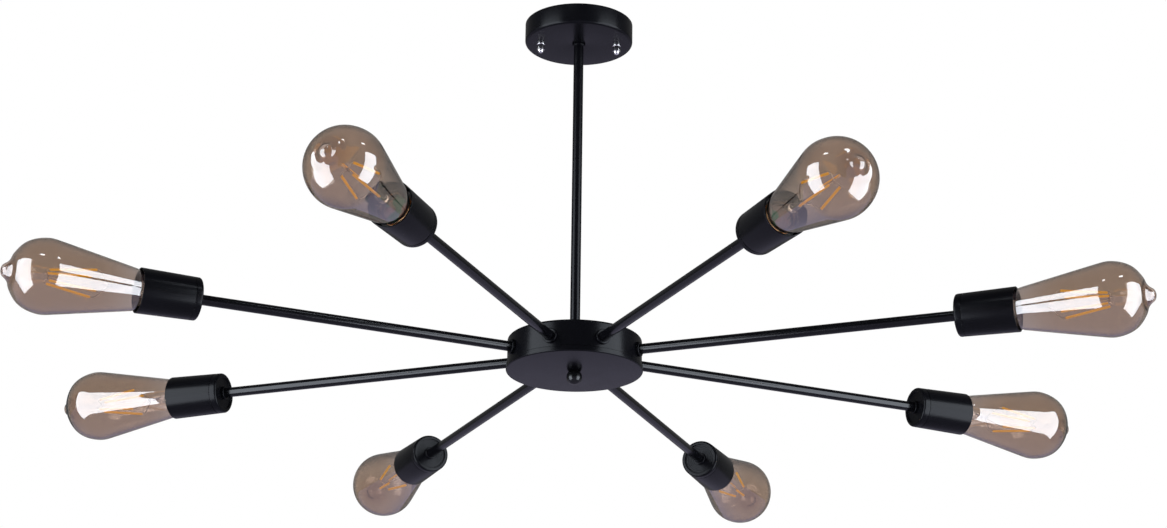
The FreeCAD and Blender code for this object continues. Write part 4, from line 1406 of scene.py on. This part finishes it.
@dataclass
class Bulbs:
    """The eight screw-base bulbs.

    Outlines are given from the cup's mouth outwards, with the distance from the arm's axis.
    """

    shop: Workshop
    layout: Layout
    neck_depth: float = 17.0
    neck_radius: float = 11.4
    neck_wall: float = 0.9
    flare: tuple[Point, ...] = ((-9.5, 11.4), (-4.5, 15.0), (4.0, 18.2))
    cone_end: Point = (66.0, 30.1)
    dome: tuple[Point, ...] = (
        (81.0, 31.92), (97.2, 26.7), (106.4, 16.3), (109.2, 10.0), (111.2, 7.6), (115.2, 4.3))
    tip: float = 116.4
    inner_flare: tuple[Point, ...] = ((-9.5, 10.5), (-4.5, 14.0), (4.0, 17.3))
    inner_cone_end: Point = (66.0, 29.2)
    inner_dome: tuple[Point, ...] = (
        (81.0, 31.02), (96.7, 25.9), (105.4, 15.5), (107.8, 9.5), (110.0, 6.8), (113.7, 3.5))
    inner_tip: float = 115.0
    cap_front: float = -9.0
    cap_rim_radius: float = 13.1
    cap_rim_length: float = 2.0
    cap_length: float = 18.0
    cap_bore: float = 11.6
    cap_mean_radius: float = 12.75
    cap_end_hole: float = 6.0
    thread_inside: float = 11.8
    thread_fade: float = 2.0
    insulator_radius: float = 9.0
    insulator_foot: float = 5.2
    insulator_length: float = 4.5
    button_radius: float = 4.6
    button_length: float = 1.8
    stem_flare_radius: float = 10.3
    stem_flare_depth: float = 8.5
    board_thickness: float = 1.6
    stem_radius: float = 4.0
    stem_top: float = 26.0
    pinch_start: float = 11.0
    pinch_length: float = 9.0
    pinch_spread: float = 0.12
    pinch_squeeze: float = 0.55
    post_radius: float = 0.9
    post_top: float = 78.0
    stick_count: int = 4
    stick_radius: float = 1.0
    stick_near: Point = (38.0, 13.0)
    stick_far: Point = (77.0, 6.5)
    lead_radius: float = 0.35

    def build(self) -> None:
        """Build one bulb and add a copy of it for each arm."""
        parts = [
            ("bulb_envelope", self.envelope(), Slot.GLASS, "bulb", "bulb_glass"),
            ("bulb_screw_cap", self.cap(), Slot.CAP, "bulb", "bulb_cap"),
            ("bulb_stem", self.stem_and_sticks(), Slot.STICK, "bulb", "bulb_filament"),
            ("bulb_foot_contact", self.foot(), Slot.INSULATOR, "bulb_foot", "bulb_contact"),
        ]
        for index in range(self.layout.arm_count):
            turn = self.layout.arm_turn(index)
            for name, mesh, slot, body, node in parts:
                full_name = f"{name}_{index + 1}"
                self.shop.add(full_name, placed_mesh(full_name, mesh, turn), slot,
                              f"{body}_{index + 1}", [f"{node}_{index + 1}"])

    def out(self, points: Sequence[Point]) -> list[Point]:
        """Move points from the cup's mouth to their distance from the hub."""
        return [(along + self.layout.cup_mouth, radius) for along, radius in points]

    def envelope(self) -> bpy.types.Mesh:
        """Make the teardrop envelope with both walls, thicker at its blown tip."""
        sides = []
        for neck, flare, cone_end, dome, tip in (
            (self.neck_radius, self.flare, self.cone_end, self.dome, self.tip),
            (self.neck_radius - self.neck_wall, self.inner_flare, self.inner_cone_end,
             self.inner_dome, self.inner_tip),
        ):
            lower = smooth_curve([(-self.neck_depth, neck), *flare, cone_end], 12)
            mirrored = (dome[-1][0], -dome[-1][1])
            upper = smooth_curve([flare[-1], cone_end, *dome, (tip, 0.0), mirrored], 16)
            upper[-1] = (tip, 0.0)
            start, end = flare[-1], cone_end
            run = [(start[0] + (end[0] - start[0]) * step / 10,
                    start[1] + (end[1] - start[1]) * step / 10) for step in range(1, 10)]
            sides.append([(-self.neck_depth, neck)] + lower + run + upper)
        outer, inner = sides
        outline = self.out(inner[::-1] + outer)
        return turned_mesh("bulb_envelope", outline, Sides.LAMP, Axis.ALONG_ARM,
                           self.layout.arm_level, closed=False)

    def cap(self) -> bpy.types.Mesh:
        """Make the sheet-brass cap with its rolled thread."""
        front = self.cap_front
        rim_rear = front - self.cap_rim_length
        end = rim_rear - self.cap_length
        sheet = self.cap_mean_radius - 0.8
        corners = [
            (front, self.cap_bore, 0.2), (front, self.cap_rim_radius, 0.5),
            (rim_rear, self.cap_rim_radius, 0.4), (rim_rear - 0.3, self.cap_mean_radius, 0.1),
            (end, self.cap_mean_radius, 0.9), (end, self.cap_end_hole, 0.1),
            (end + 0.6, self.cap_end_hole, 0.1), (end + 0.6, sheet - 0.4, 0.5),
            (end + 1.6, sheet, 0.3), (rim_rear - 1.0, sheet, 0.2),
        ]
        mouth = self.layout.cup_mouth
        pitch = self.layout.thread_pitch
        outline = split_runs(self.out(rounded(corners)), pitch / THREAD_STEPS, mouth + end,
                             mouth + rim_rear)
        level = self.layout.arm_level
        blank = turned_mesh("cap_blank", outline, Sides.CAP, Axis.ALONG_ARM, level)
        return Trees.run(self.shop.trees.thread, blank, {
            "Pitch": pitch * MILLIMETRE, "Depth": self.layout.thread_depth * MILLIMETRE,
            "Start": (mouth + end + 0.6) * MILLIMETRE, "End": (mouth + rim_rear) * MILLIMETRE,
            "Fade": self.thread_fade * MILLIMETRE, "Inside": self.thread_inside * MILLIMETRE,
            "Level": level * MILLIMETRE, "Material": self.shop.finishes.by_slot[Slot.CAP],
        })

    def foot(self) -> bpy.types.Mesh:
        """Make the glassy insulator and the solder button."""
        top = self.cap_front - self.cap_rim_length - self.cap_length - 0.1
        low = top - self.insulator_length
        face = low - self.button_length
        insulator = turned_mesh("insulator", self.out(rounded([
            (top, 0, 0), (top, self.insulator_radius, 0.8),
            (low, self.insulator_foot, 0.4), (low, 0, 0),
        ], closed=False)), Sides.TUBE, Axis.ALONG_ARM, self.layout.arm_level, closed=False)
        insulator.materials.append(self.shop.finishes.by_slot[Slot.INSULATOR])
        button = turned_mesh("button", self.out(rounded([
            (low, 0, 0), (low, self.button_radius, 0.2),
            (face, self.button_radius - 0.2, 0.9), (face, 0, 0),
        ], closed=False)), Sides.SMALL, Axis.ALONG_ARM, self.layout.arm_level, closed=False)
        button.materials.append(self.shop.finishes.lead)
        return joined_mesh("bulb_foot", [insulator, button])

    def stem_and_sticks(self) -> bpy.types.Mesh:
        """Make the glass stem, its leads, the four light sticks and the driver board."""
        pieces = [self.stem(), self.post(), self.board()]
        finishes = self.shop.finishes
        for piece, material in zip(pieces, (finishes.stem, finishes.stem, finishes.board)):
            piece.materials.append(material)
        around = FULL_TURN / self.stick_count / 2
        centre = Vector((0, 0, self.layout.arm_level)) * MILLIMETRE
        for mesh, material in ((self.stick(), finishes.by_slot[Slot.STICK]),
                               (self.leads(), finishes.lead)):
            pieces.append(self.shop.round_axis(mesh, self.stick_count, around,
                                               Vector((1, 0, 0)), centre, material))
        return joined_mesh("stem_and_sticks", pieces)

    def stem(self) -> bpy.types.Mesh:
        """Make the hollow flare that narrows to a tube and ends in a flat pinch."""
        flare = self.stem_flare_radius
        tube = self.stem_radius
        rim = -self.stem_flare_depth
        outside = rounded([
            (rim, flare - 0.8, 0), (rim, flare, 0.3), (rim + 1.1, flare - 0.4, 1.5),
            (rim + 7.0, tube + 1.6, 5.0), (rim + 13.5, tube, 7.0), (self.stem_top, tube, 1.2),
            (self.stem_top, 0.0, 0),
        ], closed=False)
        inside = rounded([
            (10.0, 0.0, 0), (10.0, tube - 1.0, 2.0), (rim + 13.0, tube - 0.9, 7.0),
            (rim + 7.0, tube + 0.6, 5.0), (rim, flare - 0.8, 0),
        ], closed=False)
        mouth = self.layout.cup_mouth
        start = mouth + self.pinch_start

        def pinch(place: Vector) -> Vector:
            """Flatten the tube's end."""
            share = min(max((place.x - start) / self.pinch_length, 0.0), 1.0)
            share = share * share * (3 - 2 * share)
            return Vector((place.x, place.y * (1 + self.pinch_spread * share),
                           place.z * (1 - self.pinch_squeeze * share)))

        outline = split_runs(self.out(inside[:-1] + outside), 1.5, mouth - 16, mouth + 30)
        outline = [point for point in outline if point[1] >= 0]
        return turned_mesh("stem", outline, Sides.SMALL, Axis.ALONG_ARM, self.layout.arm_level,
                           closed=False, shape=pinch)

    def board(self) -> bpy.types.Mesh:
        """Make the round driver board behind the flare."""
        front = -self.stem_flare_depth - 0.1
        rear = front - self.board_thickness
        radius = self.stem_flare_radius
        return turned_mesh("board", self.out(rounded([
            (rear, 0, 0), (rear, radius, 0.2), (front, radius, 0.2), (front, radius - 1.4, 0.1),
            (front - 0.3, radius - 1.6, 0.1), (front - 0.3, 0, 0),
        ], closed=False)), Sides.TUBE, Axis.ALONG_ARM, self.layout.arm_level, closed=False)

    def post(self) -> bpy.types.Mesh:
        """Make the thin glass post with the bead that holds the far leads."""
        start = self.stem_top - 1.0
        end = self.post_top
        bead = 1.5
        outline = [(start, 0.0), (start, self.post_radius), (end - 2 * bead, self.post_radius)]
        for step in range(13):
            angle = math.radians(150 - 150 * step / 12)
            outline.append((end - bead + bead * math.cos(angle), bead * math.sin(angle)))
        outline[-1] = (end, 0.0)
        return turned_mesh("post", self.out(outline), Sides.POST, Axis.ALONG_ARM,
                           self.layout.arm_level, closed=False)

    def ends(self) -> tuple[Vector, Vector]:
        """Give the near and far ends of the stick above the axis at no turn."""
        level = self.layout.arm_level
        mouth = self.layout.cup_mouth
        near = Vector((mouth + self.stick_near[0], self.stick_near[1], level))
        far = Vector((mouth + self.stick_far[0], self.stick_far[1], level))
        return near, far

    def stick(self) -> bpy.types.Mesh:
        """Make one stick: a coated rod with rounded ends."""
        near, far = self.ends()
        along = (far - near).normalized()
        length = (far - near).length
        outline = [(0.0, 0.0)]
        for step in range(1, 7):
            angle = FULL_TURN / 4 * step / 6
            outline.append((self.stick_radius * (1 - math.cos(angle)),
                            self.stick_radius * math.sin(angle)))
        outline += [(length - point[0], point[1]) for point in outline[::-1]]
        mesh = turned_mesh("stick", outline, Sides.STICK, Axis.ALONG_ARM, closed=False)
        turn = Vector((1, 0, 0)).rotation_difference(along).to_matrix().to_4x4()
        mesh.transform(Matrix.Translation(near * MILLIMETRE) @ turn)
        return mesh

    def leads(self) -> bpy.types.Mesh:
        """Make the two bent leads of one stick."""
        near, far = self.ends()
        along = (far - near).normalized()
        level = self.layout.arm_level
        mouth = self.layout.cup_mouth
        routes = []
        for anchor_place, elbow, end in (
            (self.stem_top, near - along * 2.4, near + along * 0.5),
            (self.post_top, far + along * 2.4, far - along * 0.5),
        ):
            anchor = Vector((mouth + anchor_place - 1.5, 0, level))
            start = anchor.lerp(elbow, 0.75)
            bend = []
            for step in range(9):
                share = step / 8
                bend.append(start.lerp(elbow, share).lerp(elbow.lerp(end, share), share))
            routes.append([anchor] + bend)
        return joined_mesh("leads", [wire_mesh("lead", route, self.lead_radius)
                                     for route in routes])


@dataclass
class HiddenHardware:
    """CAD nodes whose own shape stays, with a finish of their own."""

    shop: Workshop
    frame: dict[str, object]
    slots: dict[str, Slot] = field(default_factory=lambda: {
        "mounting_plate": Slot.ZINC, "ground_screw": Slot.GREEN_SCREW, "canopy_studs": Slot.ZINC,
        "rod_nuts": Slot.ZINC, "hub_stirrup": Slot.ZINC, "arm_nuts": Slot.ZINC,
        "lamp_holders": Slot.HOLDER, "socket_contacts": Slot.SHELL, "lamp_wires": Slot.WIRE,
        "wire_connectors": Slot.CONNECTOR,
    })

    def build(self) -> None:
        """Give each node its material."""
        for name, slot in self.slots.items():
            node = self.frame["nodes"][name]
            node.data.materials.clear()
            node.data.materials.append(self.shop.finishes.by_slot[slot])
            LOG.info("%s keeps its CAD shape, in %s", name, slot.value)


@dataclass(frozen=True)
class Lamp:
    """A soft rectangular lamp that the camera doesn't see.

    Attributes:
        name: Name of the lamp.
        place: Where it stands, in metres.
        size: Its width and height, in metres.
        radiance: How bright its face is.
        mirrored: Whether it shows in metal and glass only, or else lights matt surfaces only.
    """

    name: str
    place: Place
    size: Point
    radiance: float
    mirrored: bool = False

    def stand(self, target: Vector, colour: Colour) -> None:
        """Stand the lamp up, facing a point."""
        data = bpy.data.lights.new(self.name, "AREA")
        data.shape = "RECTANGLE"
        data.size, data.size_y = self.size
        data.color = colour
        data.energy = self.radiance * math.pi * self.size[0] * self.size[1]
        lamp = bpy.data.objects.new(self.name, data)
        place = Vector(self.place)
        turn = (target - place).to_track_quat("-Z", "Y").to_matrix().to_4x4()
        lamp.matrix_world = Matrix.Translation(place) @ turn
        lamp.visible_camera = False
        lamp.visible_diffuse = not self.mirrored
        lamp.visible_glossy = self.mirrored
        lamp.visible_transmission = self.mirrored
        bpy.context.scene.collection.objects.link(lamp)
        if self.mirrored:
            self.hide_behind_glass(data)

    @staticmethod
    def hide_behind_glass(data: bpy.types.AreaLight) -> None:
        """Keep a lamp from showing straight through glass, but not from mirroring inside it."""
        data.use_nodes = True
        draft = NodeDraft(data.node_tree)
        depths = draft.add("ShaderNodeLightPath").outputs
        inside = draft.math("GREATER_THAN", depths["Glossy Depth"], 0.5)
        outside = draft.math("LESS_THAN", depths["Transmission Depth"], 0.5)
        strength = draft.tree.nodes["Emission"].inputs["Strength"]
        draft.put(strength, draft.math("MAXIMUM", inside, outside))


@dataclass
class Studio:
    """The stage, the lamps and the camera.

    Attributes:
        finishes: The finishes, for the floor's.
        photo_width: Width of the photograph, in pixels.
        camera_place: Where the camera stands, in metres.
        camera_heading: Heading, pitch and roll, in degrees; heading 0 looks along +Y.
        focal_pixels: Focal length in pixels of the photograph's width.
        ambient: Strength of the world's light on matt surfaces.
        mirrored_room: How bright the dark side of the room is in metal and glass.
        mirrored_backdrop: What the backdrop adds to that behind the light.
        lamp_colour: Colour of all the lamps.
        lamp_target: The point that all the lamps face, in metres.
        lamps: The lamps; those that mirror stand in front of those that light matt surfaces.
        floor_level: Height of the floor, in metres.
        floor_radius: Radius of the floor, in metres.
    """

    finishes: Finishes
    photo_width: int = 1167
    camera_place: Place = (-0.0605, -2.4756, -1.1246)
    camera_heading: tuple[float, float, float] = (1.56, 19.77, 0.72)
    focal_pixels: float = 2927.0
    ambient: float = 0.25
    mirrored_room: float = 0.03
    mirrored_backdrop: float = 0.14
    lamp_colour: Colour = (0.84, 0.91, 1.0)
    lamp_target: Place = (0.0, 0.0, -0.32)
    lamps: tuple[Lamp, ...] = (
        Lamp("left_softbox", (-2.1, -1.1, -0.52), (2.0, 3.3), 2.4),
        Lamp("right_softbox", (2.1, -1.1, -0.52), (2.0, 3.3), 2.4),
        Lamp("left_highlight", (-1.9, -1.0, -0.56), (1.8, 2.88), 7.5, mirrored=True),
        Lamp("right_highlight", (1.9, -1.0, -0.56), (1.8, 2.88), 7.5, mirrored=True),
        Lamp("left_glint", (-0.5, -1.5, 1.15), (0.3, 0.12), 16.0, mirrored=True),
        Lamp("right_glint", (0.9, -1.2, 1.15), (0.3, 0.12), 16.0, mirrored=True),
    )
    floor_level: float = -2.5
    floor_radius: float = 14.0

    def build(self) -> None:
        """Set up the whole studio."""
        self.camera()
        self.floor()
        self.world()
        for lamp in self.lamps:
            lamp.stand(Vector(self.lamp_target), self.lamp_colour)
        bpy.context.scene.view_settings.view_transform = "Standard"

    def camera(self) -> None:
        """Set the camera where the photograph was taken from."""
        data = bpy.data.cameras.new("photo_camera")
        data.sensor_width = 36.0
        data.lens = data.sensor_width * self.focal_pixels / self.photo_width
        camera = bpy.data.objects.new("photo_camera", data)
        heading, pitch, roll = (math.radians(angle) for angle in self.camera_heading)
        ahead = Vector((math.sin(heading) * math.cos(pitch), math.cos(heading) * math.cos(pitch),
                        math.sin(pitch)))
        right = Vector((math.cos(heading), -math.sin(heading), 0.0))
        above = right.cross(ahead)
        tilted_right = right * math.cos(roll) + above * math.sin(roll)
        tilted_above = above * math.cos(roll) - right * math.sin(roll)
        frame = Matrix((tilted_right, tilted_above, -ahead)).transposed().to_4x4()
        camera.matrix_world = Matrix.Translation(self.camera_place) @ frame
        bpy.context.scene.collection.objects.link(camera)
        bpy.context.scene.camera = camera

    def floor(self) -> None:
        """Lay the pale floor, far below the light."""
        work = bmesh.new()
        bmesh.ops.create_circle(work, cap_ends=True, radius=self.floor_radius, segments=64)
        bmesh.ops.translate(work, verts=work.verts, vec=(0, 0, self.floor_level))
        floor = bpy.data.objects.new("floor", finished_mesh("floor", work))
        floor.data.materials.append(self.finishes.floor)
        bpy.context.scene.collection.objects.link(floor)

    def world(self) -> None:
        """White beyond the light, dimmer on the camera's side where metal mirrors the room."""
        world = bpy.data.worlds.new("studio")
        world.use_nodes = True
        bpy.context.scene.world = world
        draft = NodeDraft(world.node_tree)
        draft.tree.nodes.clear()
        heading = draft.add("ShaderNodeTexCoord").outputs["Generated"]
        towards = draft.add("ShaderNodeVectorMath", {0: heading, 1: (0.0, 0.96, 0.28)},
                            operation="DOT_PRODUCT")
        backdrop = draft.ramp(towards.outputs["Value"], -0.1, 0.75)
        mirrored = draft.math("MULTIPLY_ADD", backdrop, self.mirrored_backdrop, self.mirrored_room)
        rays = draft.add("ShaderNodeLightPath").outputs
        seen = draft.math("MAXIMUM", rays["Is Camera Ray"], rays["Is Transmission Ray"])
        dim = draft.math("MULTIPLY_ADD", rays["Is Glossy Ray"],
                         draft.math("SUBTRACT", mirrored, self.ambient), self.ambient)
        unseen = draft.math("SUBTRACT", 1.0, seen)
        strength = draft.math("ADD", draft.math("MULTIPLY", dim, unseen), seen)
        light = draft.add("ShaderNodeBackground", {"Color": (*WHITE, 1.0), "Strength": strength})
        out = draft.add("ShaderNodeOutputWorld")
        draft.put(out.inputs["Surface"], light.outputs[0])


def main() -> None:
    """Build the looks of the whole light."""
    logging.basicConfig(level=logging.INFO, format="%(name)s: %(message)s")
    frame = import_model()
    finishes = Finishes()
    shop = Workshop(finishes, Trees())
    layout = Layout()
    Studio(finishes).build()
    for assembly in (CeilingCanopy, DownRod, Hub, Arms, SocketCups, Bulbs):
        assembly(shop, layout).build()
    HiddenHardware(shop, frame).build()


if __name__ == "__main__":
    main()
